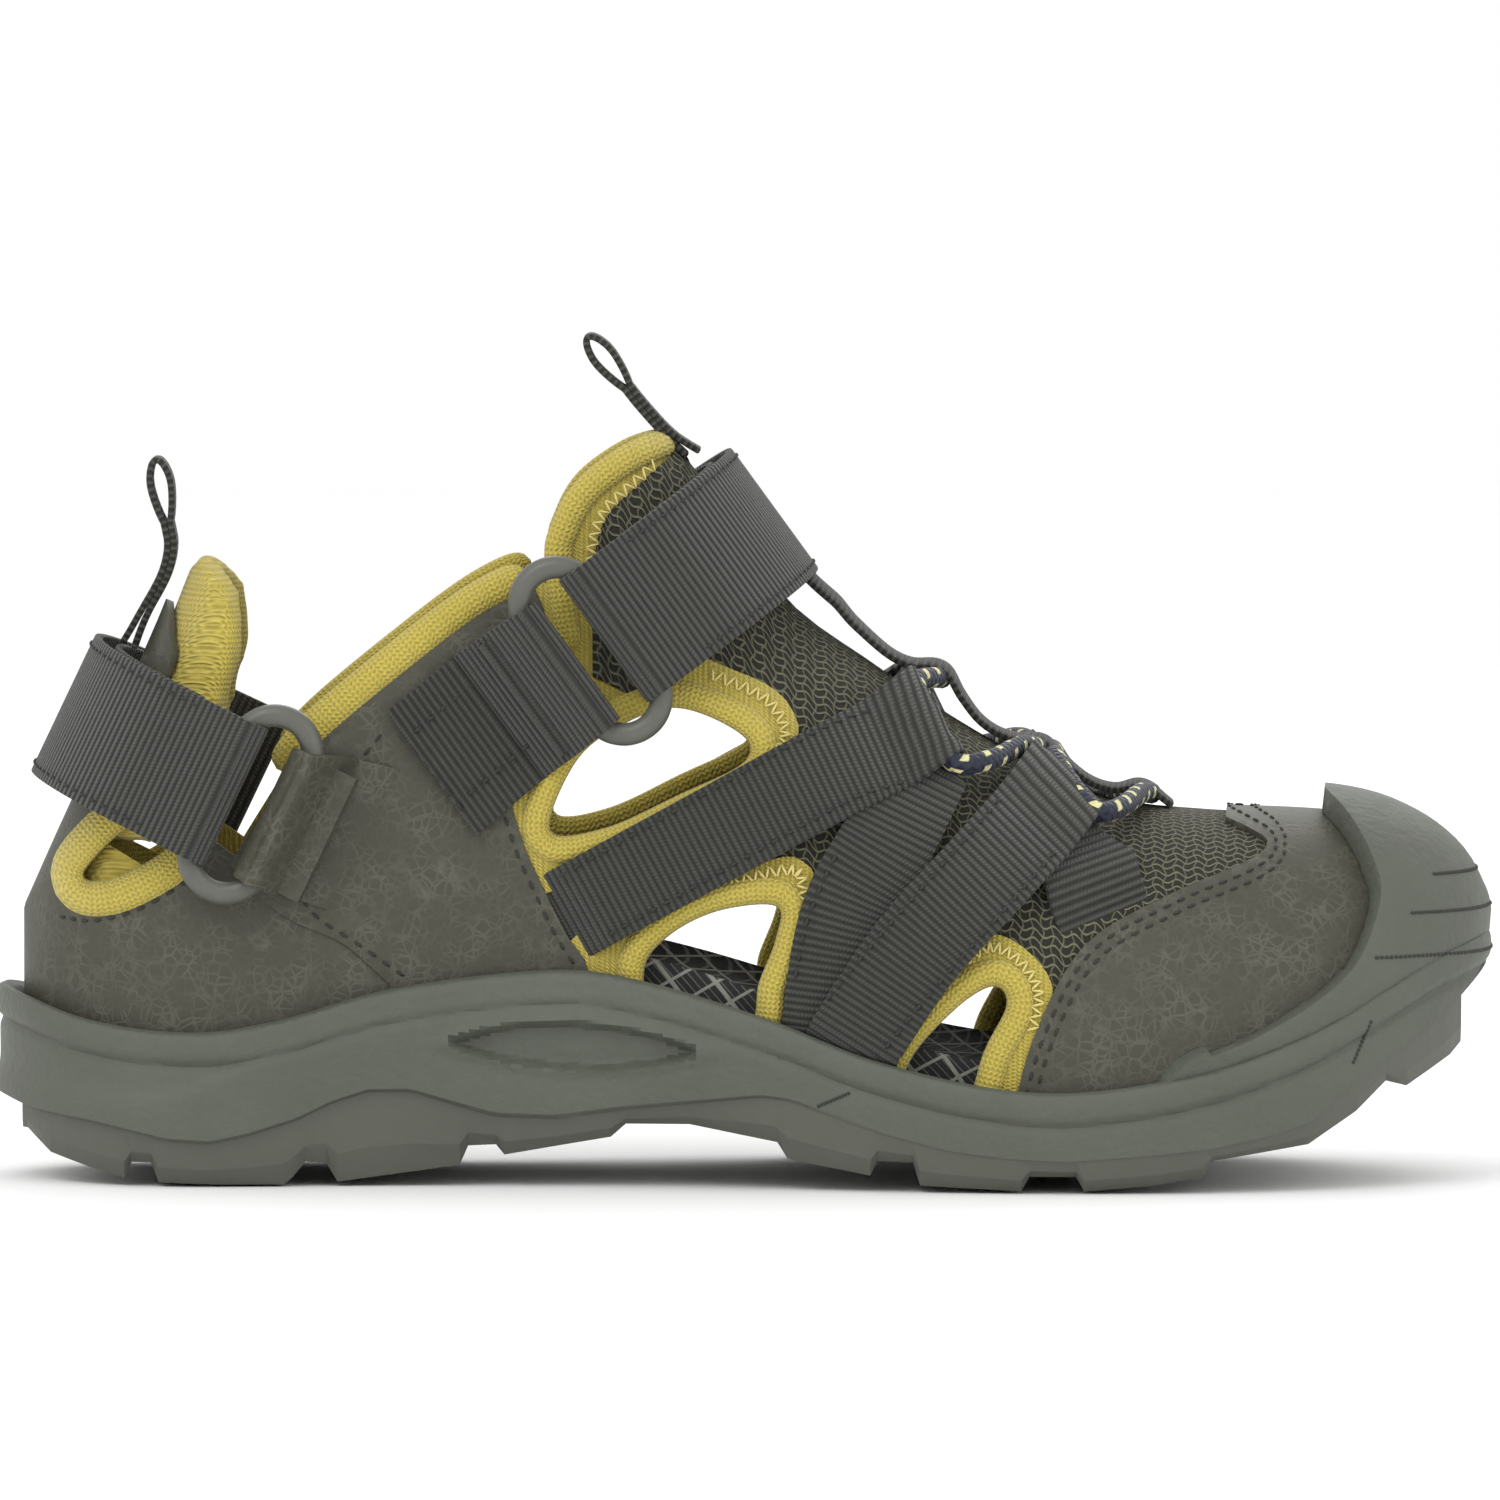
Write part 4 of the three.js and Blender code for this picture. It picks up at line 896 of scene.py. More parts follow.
for side, word in ((MEDIAL, "medial"), (LATERAL, "lateral")):
    for name, outline in WINDOWS.items():
        hole = even(spline(outline, 16, closed=True), 110, closed=True)
        plump = 3.0 if name == "heel" else 2.35
        binding = roll(outwards(hole, plump), side, plump, 0.0017, 0.0018, True)
        sew_up(binding, f"{name}_binding_{word}", "shoe", yellow_knit,
               [f"{name}_window_binding_{word}"], smooth=60)
    collar_line = even(collar, 60)
    collar_roll = roll(collar_line + sideways(collar_line) * 1.7, side, 2.9, 0.0014, 0.0022,
                       False)
    sew_up(collar_roll, f"collar_roll_{word}", "shoe", yellow_knit,
           [f"collar_binding_{word}"], smooth=60)
    for name, outline in KNIT_PANELS.items():
        knit = cut_panel(side_line(even(spline(outline, 8, closed=True), 70, closed=True), side,
                                   0.0022), 0.0022, 0.0011, edge=0.0003)
        punch(knit, WINDOWS)
        sew_up(knit, f"{name}_knit_{word}", "shoe", yellow_knit)
    lining = cut_panel(side_line(quarter_cut, side, 0.0012), 0.0011, 0.0009)
    sew_up(lining, f"quarter_lining_{word}", "shoe", yellow_knit)
    rim_roll = roll(tongue_rim, side, 2.4, 0.0016, 0.0018, False)
    sew_up(rim_roll, f"tongue_rim_{word}", "shoe", yellow_knit,
           ["tongue_binding"] if side == MEDIAL else [], smooth=60)

tongue_knit = cut_panel(wrap(densify([(-10, 124), (-14, 123), (-20.7, 120.4), (-27.7, 114.5),
                                      (-31.3, 108.2), (-32, 102.8), (-31, 90), (-30, 84)], 50),
                             tongue_front, 0.0017), 0.0017, 0.0014)
sew_up(tongue_knit, "tongue_knit", "shoe", yellow_knit)
heel_lining = cut_panel(wrap(0, densify(heel_edge, 60), 0.0010), 0.0008, 0.0008)
punch(heel_lining, ["heel"])
sew_up(heel_lining, "heel_lining", "shoe", yellow_knit)

counter_lining = cut_panel(
    wrap(0, densify([(-109.5, 60), (-105, 60), (-94, 54), (-83, 48), (-77, 40), (-76, 30),
                     (-76, 18)], 40), 0.0), -0.0013, 0.0006)
punch(counter_lining, ["heel"])
sew_up(counter_lining, "counter_lining", "shoe", yellow_knit)
toe_lining = cut_panel(
    wrap(densify([(86, 60), (86, 50), (84, 40), (84, 30), (84, 12)], 40), 1, 0.0), -0.0013, 0.0006)
sew_up(toe_lining, "toe_lining", "shoe", mesh_fabric)
pad_line = densify([(-92.5, 104), (-87.5, 99), (-85.2, 90), (-88, 78), (-92, 64), (-98, 57.4),
                    (-106, 57), (-112.6, 57)], 50)
pad_half = side_line(pad_line, LATERAL, 0.0)
pad_cut = np.vstack([pad_half, (pad_half * (1, -1))[-2:0:-1]])
heel_cushion = cut_panel(pad_cut, 0.0003, 0.0048, edge=0.0018)


def plump_up(piece, voxel, most):
    """Swells a pad like stuffed knit: a net of even size, blown up a little and let settle."""
    bpy.ops.object.select_all(action="DESELECT")
    piece.select_set(True)
    bpy.context.view_layer.objects.active = piece
    net = piece.modifiers.new("net", "REMESH")
    net.mode = "VOXEL"
    net.voxel_size = voxel
    bpy.ops.object.modifier_apply(modifier="net")
    start_co = np.empty(len(piece.data.vertices) * 3)
    piece.data.vertices.foreach_get("co", start_co)
    cloth = piece.modifiers.new("stuffing", "CLOTH")
    cloth.settings.use_pressure = True
    cloth.settings.uniform_pressure_force = 4
    cloth.settings.effector_weights.gravity = 0
    scene = bpy.context.scene
    for step in range(1, 16):
        scene.frame_set(step)
    settled = piece.evaluated_get(bpy.context.evaluated_depsgraph_get()).to_mesh()
    end_co = np.empty(len(start_co))
    settled.vertices.foreach_get("co", end_co)
    piece.modifiers.remove(cloth)
    scene.frame_set(1)
    move = (end_co - start_co).reshape(-1, 3)
    far = np.linalg.norm(move, axis=1, keepdims=True)
    move *= np.minimum(1, most / np.maximum(far, 1e-9))
    piece.data.vertices.foreach_set("co", (start_co.reshape(-1, 3) + move).reshape(-1))
    piece.data.update()
    soft = piece.modifiers.new("round", "SUBSURF")
    soft.levels = soft.render_levels = 1
    bpy.ops.object.modifier_apply(modifier="round")


plump_up(heel_cushion, 0.0016, 0.0022)
sew_up(heel_cushion, "heel_cushion", "shoe", cushion_knit, ["heel_pad"], smooth=80)


# ---- Webbing legs ------------------------------------------------------------------------
# Ribbed polyester webbing. On each side two straps run up from the sole, fold over the lace
# and come back down under themselves.
WEBBING = 0.0014
NARROW = 15.6
SEWN_LIFT, EASE_IN, EASE_LONG = 0.0014, 0.0045, 0.009
END_RISE_LONG = 0.008


def webbing_finish(start):
    pattern = start.node("ShaderNodeUVMap", uv_map="pattern")
    along, across = axis_of(pattern, "X"), axis_of(pattern, "Y")
    rib = along.wave(0.00118)
    thread = (across + along * 0.35).wave(0.00062)
    waver = noise(start, pattern, 500.0, 3.0)
    broad = noise(start, object_place(start), 60.0, 3.0)
    weave = rib * (thread * 0.35 + 0.75)
    shade = weave * 0.95 + waver * 0.2 + broad * 0.2 - 0.22
    colour = shade.blend((0.006, 0.0062, 0.005), (0.066, 0.067, 0.053))
    return {"Base Color": colour, "Normal": (weave + waver * 0.25).bump(0.0006)}


webbing = finish("webbing", webbing_finish, rough=0.72, sheen=0.15)
REAR_FOLD = [(18, 13), (24, 18), (31.5, 35), (38, 40)]
FRONT_FOLD = [(40, 14), (46.5, 20), (55, 31), (62, 38)]


FLAT_SHARE = 0.88


def leg(line, side, lift, stops, rise=0.0, roll_over=0.0):
    """A webbing leg along a side-view line, ending where it meets an angle from the ridge."""
    path = spline(line, 10)
    total = length_of(path) / 1000
    left = sideways(path)
    share = np.concatenate([[0], np.cumsum(np.linalg.norm(np.diff(path, axis=0), axis=1))])
    share /= share[-1]

    def spot(s, t):
        centre = np.stack([np.interp(s, share, path[:, k]) for k in (0, 1)], -1)
        across = np.stack([np.interp(s, share, left[:, k]) for k in (0, 1)], -1)
        return (centre + across * ((t - 0.5) * NARROW)[:, None]) / 1000

    tries = np.linspace(0.3, 1, 141)
    rows = np.linspace(0, 1, 15)
    ends = []
    for t in rows:
        spots = spot(tries, np.full(141, t))
        angle = np.abs(laid(spots, side, lift)[:, 1])
        stop = np.interp(spots[:, 0] * 1000, *np.array(stops, float).T)
        past = np.nonzero(angle < np.radians(stop))[0]
        ends.append(tries[past[0]] if len(past) else 1.0)
    ends = np.array(ends)

    def place(s, t):
        flat_share = np.clip(s / FLAT_SHARE, 0, 1)
        end = np.interp(t, rows, ends)
        at = flat_share * end
        to_end = np.clip((at - end) * total / END_RISE_LONG + 1, 0, 1)
        start = np.clip((at * total - EASE_IN) / EASE_LONG, 0, 1)
        tucked = SEWN_LIFT + (lift - SEWN_LIFT) * start * start * (3 - 2 * start)
        height = tucked + rise * to_end * to_end * (3 - 2 * to_end)
        found = laid(spot(at, t), side, lift)
        ground = on_last(found[:, 0], found[:, 1])
        above = ground[:, 2] - (np.abs(found[:, 1]) > np.pi / 2) * 0.002 - rim_line(ground[:, 0])
        height = np.minimum(height, np.interp(above, [-0.003, 0.0, 0.008], [0.0022, 0.0030, 0.02]))
        places = lasted(found[:, 0], found[:, 1], height)
        if roll_over:
            earlier = laid(spot(end - 0.03, t), side, lift)
            last = laid(spot(end, t), side, lift)
            tip = lasted(last[:, 0], last[:, 1], np.full(len(s), lift + rise))
            ahead = tip - lasted(earlier[:, 0], earlier[:, 1], np.full(len(s), lift + rise))
            ahead /= np.linalg.norm(ahead, axis=1, keepdims=True)
            out = off_last(last[:, 0], last[:, 1])
            turn = (np.clip((s - FLAT_SHARE) / (1 - FLAT_SHARE), 0, 1) * np.pi * 1.05)[:, None]
            curl = tip + roll_over * (ahead * np.sin(turn) - out * (1 - np.cos(turn)))
            places = np.where((s > FLAT_SHARE)[:, None], curl, places)
        return places, np.stack([at * total + np.clip(s - FLAT_SHARE, 0, 1) * 0.06,
                                 t * NARROW / 1000], -1)

    piece = bolt(90, 14, place)
    if sum(p.area * np.dot(p.normal, (0, side, 0.5)) for p in piece.data.polygons) < 0:
        piece.data.flip_normals()
    thicken(piece, WEBBING, 0.0004)
    return piece


LEGS = {
    "rear_return": ([(11.5, 15), (15.5, 43), (23, 58), (31, 74)], 0.0042, REAR_FOLD, 0, 0),
    "rear_leg": ([(-37, 41), (10.9, 67.4), (31, 77), (36, 80)], 0.0050, REAR_FOLD, 0.0034, 0.0026),
    "front_return": ([(61, 41), (56.5, 52), (52, 68)], 0.0044, FRONT_FOLD, 0, 0),
    "front_leg": ([(10.5, 14), (26, 38), (40, 53.5), (56, 70)], 0.0060, FRONT_FOLD, 0.0024,
                  0.0026),
}
for side, word in ((MEDIAL, "medial"), (LATERAL, "lateral")):
    for name, (line, lift, stop, rise, roll_over) in LEGS.items():
        stands_for = {"rear_leg": ["rear_webbing_" + word],
                      "front_leg": ["front_webbing_" + word]}.get(name, [])
        one_leg = leg(line, side, lift, stop, rise, roll_over)
        sew_up(one_leg, f"{name}_{word}", "shoe", webbing, stands_for)


# ---- Lace and its tape -------------------------------------------------------------------
# An elastic braid, navy with pale flecks. It runs from side to side under three humps of a
# narrow ribbed tape on the instep, and through the folded ends of the webbing legs.
TAPE_HALF = 0.0048
tape_height = smooth_line([
    (-16, 7.0), (-4, 7.5), (9.5, 8.0), (14.5, 6.6), (20, 5.6), (23.5, 6.2), (26.5, 8.4), (29, 8.6),
    (32.5, 6.4), (37, 4.4), (41.6, 4.6), (45, 6.6), (47, 6.8), (49.7, 5.6), (55, 4.2), (60, 4.4),
    (63.5, 5.8), (66, 5.6), (70.5, 2.7)])


def tape_place(s, t):
    x = -0.010 + s * 0.0805
    y = (t - 0.5) * 2 * TAPE_HALF
    narrow = np.where(x > 0.066, 1 - (x - 0.066) / 0.02, 1.0)
    angle = np.arcsin(np.clip(y * narrow / np.maximum(half_width(1, x), 0.01), -1, 1))
    lift = tape_height(x) * (1 - 0.10 * (2 * t - 1) ** 2)
    return lasted(u_at(x), angle, lift), np.stack([s * 0.095, y], -1)


tape = bolt(130, 8, tape_place)
thicken(tape, 0.0011, 0.0003)
sew_up(tape, "instep_tape", "shoe", webbing, ["lace_tape"])


def braid_finish(start):
    pattern = start.node("ShaderNodeUVMap", uv_map="pattern")
    along, round_ = axis_of(pattern, "X"), axis_of(pattern, "Y")
    one = (along + round_ * 0.55).wave(0.0014)
    other = (along - round_ * 0.55).wave(0.0014)
    flecks = (along * 1.0 + round_ * 0.3).wave(0.0042).over(0.80, 0.05)
    column = (round_ + along * 0.12).wave(0.00366).over(0.42, 0.1)
    pale = flecks * column
    weave = one.maths("MAXIMUM", other)
    colour = pale.blend((0.006, 0.009, 0.028), (0.72, 0.68, 0.34))
    return {"Base Color": colour, "Normal": weave.bump(0.0003)}


lace_cord = finish("lace_cord", braid_finish, rough=0.6, sheen=0.1)
LACE = 0.0035
MEDIAL_RUN = [(29, 0.5, 6.2), (27, 9, 6.0), (24.6, 18, 5.7), (27, 28, 5.9), (31.5, 37, 6.3),
              (37, 32, 6.6), (42.5, 17, 5.6), (46.5, 4, 4.4), (48.5, 6, 4.6), (48, 15, 6.0),
              (50.5, 26, 6.6), (55, 33, 7.0), (60, 27, 6.0), (64.5, 9, 4.2)]


def lace_spots(side):
    x, degrees, height = np.array(MEDIAL_RUN, float).T
    return lasted(u_at(x / 1000), side * np.radians(degrees), height / 1000)


front_loop = lasted(u_at(np.array([0.0665])), np.array([0.0]), np.array([0.0035]))
lace_line = spline(np.vstack([lace_spots(MEDIAL), front_loop, lace_spots(LATERAL)[::-1]]), 12)
lace_line = even(lace_line, 320)


def tube_place(line, radius):
    """A round cord along a line in space, closed at both ends."""
    ahead = np.gradient(line, axis=0)
    ahead /= np.linalg.norm(ahead, axis=1, keepdims=True)
    up = np.zeros_like(line)
    up[0] = np.cross(ahead[0], (0.3, 0.9, 0.2))
    for k in range(1, len(line)):
        up[k] = up[k - 1] - ahead[k] * np.dot(up[k - 1], ahead[k])
        up[k] /= np.linalg.norm(up[k])
    up[0] /= np.linalg.norm(up[0])
    beside = np.cross(ahead, up)
    total = length_of(line)

    def place(s, t):
        k = s * (len(line) - 1)
        i = np.clip(np.floor(k).astype(int), 0, len(line) - 2)
        f = (k - i)[:, None]
        centre = line[i] * (1 - f) + line[i + 1] * f
        one = up[i] * (1 - f) + up[i + 1] * f
        other = beside[i] * (1 - f) + beside[i + 1] * f
        end = np.clip(np.minimum(s, 1 - s) * total / radius, 0, 1)
        size = (radius * np.sqrt(1 - (1 - end) ** 2))[:, None]
        turn = (2 * np.pi * t)[:, None]
        return (centre + size * (one * np.cos(turn) + other * np.sin(turn)),
                np.stack([s * total, t * 2 * np.pi * radius], -1))

    return place


lace = close_up(bolt(420, 14, tube_place(lace_line, LACE / 2)))
sew_up(lace, "elastic_braid", "shoe", lace_cord, ["elastic_lace"], smooth=70)


# ---- Ring and strap closures -------------------------------------------------------------
# Over the instep and round the heel: a moulded ring held in a folded tab, and a webbing strap
# that passes through the ring and lies back over the fixed strap on hook-and-loop patches.
WIDE = 0.025
BAR_PLACE = 0.0062
RING_WIRE = 0.0019
RING_HALF_LONG = 0.0094
RING_STEPS = 120
ARCH_SQUARENESS = 2.35


class Closure:
    """A closure's tilted plane: wide is the webbing's width, rise runs away from the tab."""

    def __init__(self, x, z, tilt, out, rise):
        tilt = math.radians(tilt)
        self.centre = np.array([x, 0, z]) / 1000
        self.wide = np.array([math.cos(tilt), 0, math.sin(tilt)])
        self.rise = np.array([-math.sin(tilt), 0, math.cos(tilt)])
        self.out, self.high = out / 1000, rise / 1000

    def at(self, out, rise, wide):
        out, rise, wide = (np.asarray(v, float)[..., None] for v in (out, rise, wide))
        return self.centre + out * (0, 1, 0) + rise * self.rise + wide * self.wide

    def arch(self, inset, from_, to, count=60):
        t = np.radians(np.linspace(from_, to, count))
        power = 2 / ARCH_SQUARENESS
        side = np.sign(np.sin(t)) * np.abs(np.sin(t)) ** power
        up = np.maximum(np.cos(t), 0) ** power
        return np.stack([(self.out - inset) * side, (self.high - inset) * up], -1)


instep = Closure(-26.3, 88.6, -54, 35, 36.2)
heel = Closure(-82.4, 63.2, 64.5, 34.2, 34)


def ring_finish(start):
    place = object_place(start)
    scuff = noise(start, place, 300.0, 4.0, 0.65)
    # The dark plastic's colour is lifted to a lighter grey all over as painted sheen; the scuff
    # noise varies it at random.
    colour = scuff.blend((0.085, 0.086, 0.072), (0.118, 0.119, 0.101))
    return {"Base Color": colour, "Roughness": scuff * 0.2 + 0.28,
            "Normal": scuff.bump(0.00005)}


ring_plastic = finish("ring_plastic", ring_finish)


def oval_wire(closure):
    """Where a ring's round wire goes, along its oval."""
    half, radius = RING_HALF_LONG, BAR_PLACE
    turns = np.linspace(0, np.pi, 24)
    oval = np.vstack([np.stack([radius * np.cos(turns), half + radius * np.sin(turns)], -1),
                      np.stack([-radius * np.cos(turns), -half - radius * np.sin(turns)], -1)])
    centre = closure.at(np.full(len(oval), -closure.out), oval[:, 0], oval[:, 1])
    path = even(centre, RING_STEPS, closed=True)

    def place(s, t):
        k = s * RING_STEPS
        i = np.floor(k).astype(int) % RING_STEPS
        f = (k - np.floor(k))[:, None]
        spot = path[i] * (1 - f) + path[(i + 1) % RING_STEPS] * f
        ahead = path[(i + 1) % RING_STEPS] - path[i - 1]
        ahead /= np.linalg.norm(ahead, axis=1, keepdims=True)
        outward = np.cross(ahead, (0, 1, 0))
        turn = (2 * np.pi * t)[:, None]
        return (spot + RING_WIRE * outward * np.cos(turn)
                + 0.9 * RING_WIRE * np.array([0, 1.0, 0]) * np.sin(turn),
                np.stack([s, t], -1))

    return place


def strap(line, closure, width, cells=110):
    """A webbing strap along a line of (out, rise) places, with its width across the frame."""
    total = length_of(line)

    def place(s, t):
        spot = lines_at(line, s)
        across = (t - 0.5) * (width if np.isscalar(width) else np.interp(s, *width))
        return closure.at(spot[:, 0], spot[:, 1], across), np.stack([s * total, across], -1)

    piece = bolt(cells, 18, place)
    thicken(piece, WEBBING, 0.0004, offset=0)
    return piece


FOLD = 0.0030


def flap_line(closure):
    """From its sewn-back tail, round the ring's bar and over to the free end."""
    bar = np.array([-closure.out, BAR_PLACE])
    arch = closure.arch(-0.00075, -88, 52, 140)
    arch = arch[arch[:, 1] > 0.017]
    turns = np.radians(np.linspace(0, -180, 20))
    loop = bar + FOLD * np.stack([np.cos(turns), np.sin(turns)], -1)
    tail = closure.arch(0.0008, -88, 0, 140)
    tail = tail[(tail[:, 1] > 0.015) & (tail[:, 1] < 0.024)][::-1]
    return even(spline(np.vstack([tail[::6], loop, arch[::6], arch[-1:]]), 6), 240)


def tab(closure, lines, widths, lift, material_thickness, sink):
    """A ring's tab: sewn flat on the quarter, then folded round the near bar of the ring.
    lines give the centre of the patch in the side view, in millimetres."""
    bar = np.array([-closure.out, -BAR_PLACE])
    turns = np.radians(np.linspace(180, 0, 20))
    loop = bar + FOLD * np.stack([np.cos(turns), np.sin(turns)], -1)
    tail = np.array([[-closure.out + FOLD * 0.8, -BAR_PLACE - 0.004],
                     [-closure.out + FOLD * 0.35, -BAR_PLACE - 0.008]])
    folded = np.vstack([loop, tail])
    folded_places = closure.at(folded[:, 0], folded[:, 1], np.zeros(len(folded)))
    patch = even(np.array(lines, float), 14) / 1000
    on = laid(patch, MEDIAL, lift)
    patch_places = lasted(on[:, 0], on[:, 1], lift)
    centre = even(spline(np.vstack([patch_places, folded_places[::3]]), 6), 160)
    gone = np.concatenate([[0], np.cumsum(np.linalg.norm(np.diff(centre, axis=0), axis=1))])
    total = gone[-1]
    flat_part = length_of(patch_places) / total

    def place(s, t):
        spot = lines_at(centre, s)
        width = np.interp(s, *widths)
        across = (t - 0.5) * width
        places = spot + across[:, None] * closure.wide
        # On the quarter the patch's sides follow the leather as well.
        side_view = places[:, [0, 2]]
        on_ = laid(side_view, MEDIAL, lift)
        sunk = np.clip(1 - s / 0.30, 0, 1) ** 2 * sink
        surface = lasted(on_[:, 0], on_[:, 1], lift - sunk)
        hold = np.clip((flat_part + 0.06 - s) / 0.30, 0, 1)[:, None]
        hold = hold * hold * (3 - 2 * hold)
        return places * (1 - hold) + surface * hold, np.stack([s * total, across], -1)

    piece = bolt(90, 18, place)
    thicken(piece, material_thickness, 0.0004, offset=0)
    return piece


def hooks_finish(start):
    place = object_place(start)
    pile = start.node("ShaderNodeTexVoronoi", {"Vector": place, "Scale": 1500.0}, "Distance")
    colour = pile.blend((0.020, 0.020, 0.021), (0.075, 0.075, 0.078))
    return {"Base Color": colour, "Normal": pile.bump(0.0004)}


fastener_black = finish("fastener_black", hooks_finish, rough=0.8)
TABS = {
    "instep": ([(-52.6, 68), (-41, 77.6)], ([0, 0.5, 0.75, 1], [0.0252, 0.0250, 0.0236, 0.0225]),
               0.0040, WEBBING, 0.0, "webbing", webbing),
    "heel": ([(-60, 56), (-70.5, 59)], ([0, 0.4, 0.7, 1], [0.0262, 0.0250, 0.0232, 0.0225]),
             0.0031, 0.0018, 0.0034, "synthetic_leather", leather),
}
for name, closure in (("instep", instep), ("heel", heel)):
    ring = close_up(bolt(RING_STEPS, 14, oval_wire(closure)))
    sew_up(ring, f"{name}_loop_ring", f"{name}_ring", ring_plastic,
           [f"{name}_ring"], smooth=80)
    lines, widths, lift, thick, sink, slot, material = TABS[name]
    holder = tab(closure, lines, widths, lift, thick, sink)
    sew_up(holder, f"{name}_tab", "shoe", material, [f"{name}_ring_tab"])
    flap = strap(flap_line(closure), closure,
                 ([0, 0.10, 0.2, 1], [0.0225, 0.0232, WIDE, WIDE]))
    sew_up(flap, f"{name}_flap_webbing", f"{name}_flap", webbing,
           [f"{name}_strap_flap"])
    base = strap(even(closure.arch(0.00315, -66, 90), 120), closure, WIDE)
    sew_up(base, f"{name}_base_webbing", "shoe", webbing, [f"{name}_strap_base"])
    for patch in (f"{name}_hook_patch", f"{name}_loop_patch"):
        reface(patch, fastener_black)


# ---- Pull loops --------------------------------------------------------------------------
# Narrow ribbed tape, folded double with a small eye at the top, sewn to the tongue and heel.
def loop_line(up, eye):
    """Up one side, round the eye and down the other side."""
    path = spline(up, 10) / 1000
    left = sideways(path)
    count = len(path)
    gap = (0.00056 + 0.0005 * np.clip(1 - np.arange(count) / (0.35 * count), 0, 1) ** 2)[:, None]
    top = path[-1]
    ahead = path[-1] - path[-2]
    ahead /= np.linalg.norm(ahead)
    beside = np.array([-ahead[1], ahead[0]])
    turns = np.radians(np.linspace(-150, 150, 22))
    rise = (np.cos(turns) + math.cos(math.radians(30))) / (1 + math.cos(math.radians(30)))
    spread = -np.sin(turns) * 0.5 * (0.35 + 0.65 * np.clip(rise + 0.35, 0, 1))
    teardrop = top + ahead * (rise * 3.3 * eye)[:, None] + beside * (spread * eye * 1.15)[:, None]
    one = path + left * -gap
    two = path + left * gap
    return even(spline(np.vstack([one[::4], teardrop[::-1], two[::-1][::4]]), 6), 200)


def pull_loop(up, eye, width):
    line = loop_line(up, eye)
    total = length_of(line)

    def place(s, t):
        spot = lines_at(line, s)
        y = (t - 0.5) * width
        return (np.stack([spot[:, 0], y, spot[:, 1]], -1), np.stack([s * total, y], -1))

    piece = bolt(160, 8, place)
    thicken(piece, 0.0011, 0.0003, offset=0)
    return piece


tongue_loop = pull_loop([(-9, 119.5), (-13.6, 123.2), (-18, 128.0), (-20.4, 131.0)], 0.0032,
                        0.0085)
sew_up(tongue_loop, "tongue_loop", "tongue_pull", webbing, ["tongue_pull_loop"])
heel_loop = pull_loop([(-103.5, 88), (-101, 93.2), (-97.6, 99.5), (-96.4, 104.5), (-97, 108.5)],
                      0.0032, 0.0085)
sew_up(heel_loop, "heel_loop", "heel_pull", webbing, ["heel_pull_loop"])


# ---- Toe bumper --------------------------------------------------------------------------
# The same compound as the sole, moulded up over the toe with a thick rounded edge.
bumper_edge = [(95.6, 64.6), (99.2, 61), (102.6, 55), (104.2, 48.2), (100.5, 38), (93.5, 31.2),
               (82.3, 24.9), (71.3, 20.0), (62, 10)]


def bumper_height(u, angle):
    """Flush with the sole's wall at its rim, and full thickness a little above it."""
    spot = on_last(u, angle)
    above = spot[:, 2] - rim_line(spot[:, 0])
    return np.interp(above, [-0.003, -0.001, 0.002, 0.006], [0.0040, 0.0052, 0.0066, 0.0070])


bumper = cut_panel(wrap(densify(bumper_edge, 70), 1, 0.0070), bumper_height, 0.0042, edge=0.0018)
sew_up(bumper, "toe_rand", "shoe", sole_foam, ["toe_bumper"], smooth=50)


# ---- Stitching ---------------------------------------------------------------------------
# Thick thread in running stitches along every leather and webbing edge, its dark colour partly
# the thread's own and partly painted shadow of the stitch line, and yellow zigzag thread over
# the knitted bindings. One stitch is shaped once and copied along a seam.
THREAD, FINE_THREAD = 0.00062, 0.00045
bpy.ops.object.select_all(action="DESELECT")
bpy.ops.mesh.primitive_uv_sphere_add(segments=6, ring_count=5, radius=0.5)
one_stitch = bpy.context.object
stitch_points = np.array([v.co for v in one_stitch.data.vertices])
stitch_faces = [list(face.vertices) for face in one_stitch.data.polygons]
bpy.data.objects.remove(one_stitch)


def thread_finish(dark, light):
    def build(start):
        twist = noise(start, object_place(start), 2500.0, 2.0)
        return {"Base Color": twist.blend(dark, light), "Normal": twist.bump(0.0001)}

    return build


# Thread colour: the thread's own dark tone, darkened further as painted shadow along the stitch
# lines.
dark_thread_and_painted_shadow = finish("dark_thread_and_painted_shadow", thread_finish((0.012, 0.012, 0.010), (0.035, 0.035, 0.030)))
yellow_thread = finish("yellow_thread", thread_finish((0.55, 0.45, 0.12), (0.78, 0.68, 0.28)))


def stitch(name, ends, out, width, material, body="shoe"):
    """Stitches between pairs of places; out is the direction away from the cloth at each."""
    first, second = ends
    ahead = second - first
    long = np.linalg.norm(ahead, axis=1, keepdims=True)
    ahead = ahead / long
    beside = np.cross(out, ahead)
    beside /= np.linalg.norm(beside, axis=1, keepdims=True)
    up = np.cross(ahead, beside)
    stitch_middle = (first + second) / 2
    points = (stitch_middle[:, None] + stitch_points[None, :, :1] * (ahead * long)[:, None]
              + stitch_points[None, :, 1:2] * beside[:, None] * width
              + stitch_points[None, :, 2:] * up[:, None] * width * 0.8)
    count = len(stitch_points)
    faces = [[v + k * count for v in face] for k in range(len(first)) for face in stitch_faces]
    mesh = bpy.data.meshes.new(name)
    mesh.from_pydata(points.reshape(-1, 3).tolist(), [], faces)
    seam = bpy.data.objects.new(name, mesh)
    bpy.context.collection.objects.link(seam)
    mesh.materials.append(material)
    mesh.polygons.foreach_set("use_smooth", [True] * len(faces))
    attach(seam, body)


def running(line, pitch=0.0030, share=0.62):
    """Pairs of places along a line in space, for running stitches."""
    count = max(int(length_of(line) / pitch), 2)
    starts = (np.arange(count) + 0.2) / count
    return lines_at(line, starts), lines_at(line, starts + share / count)


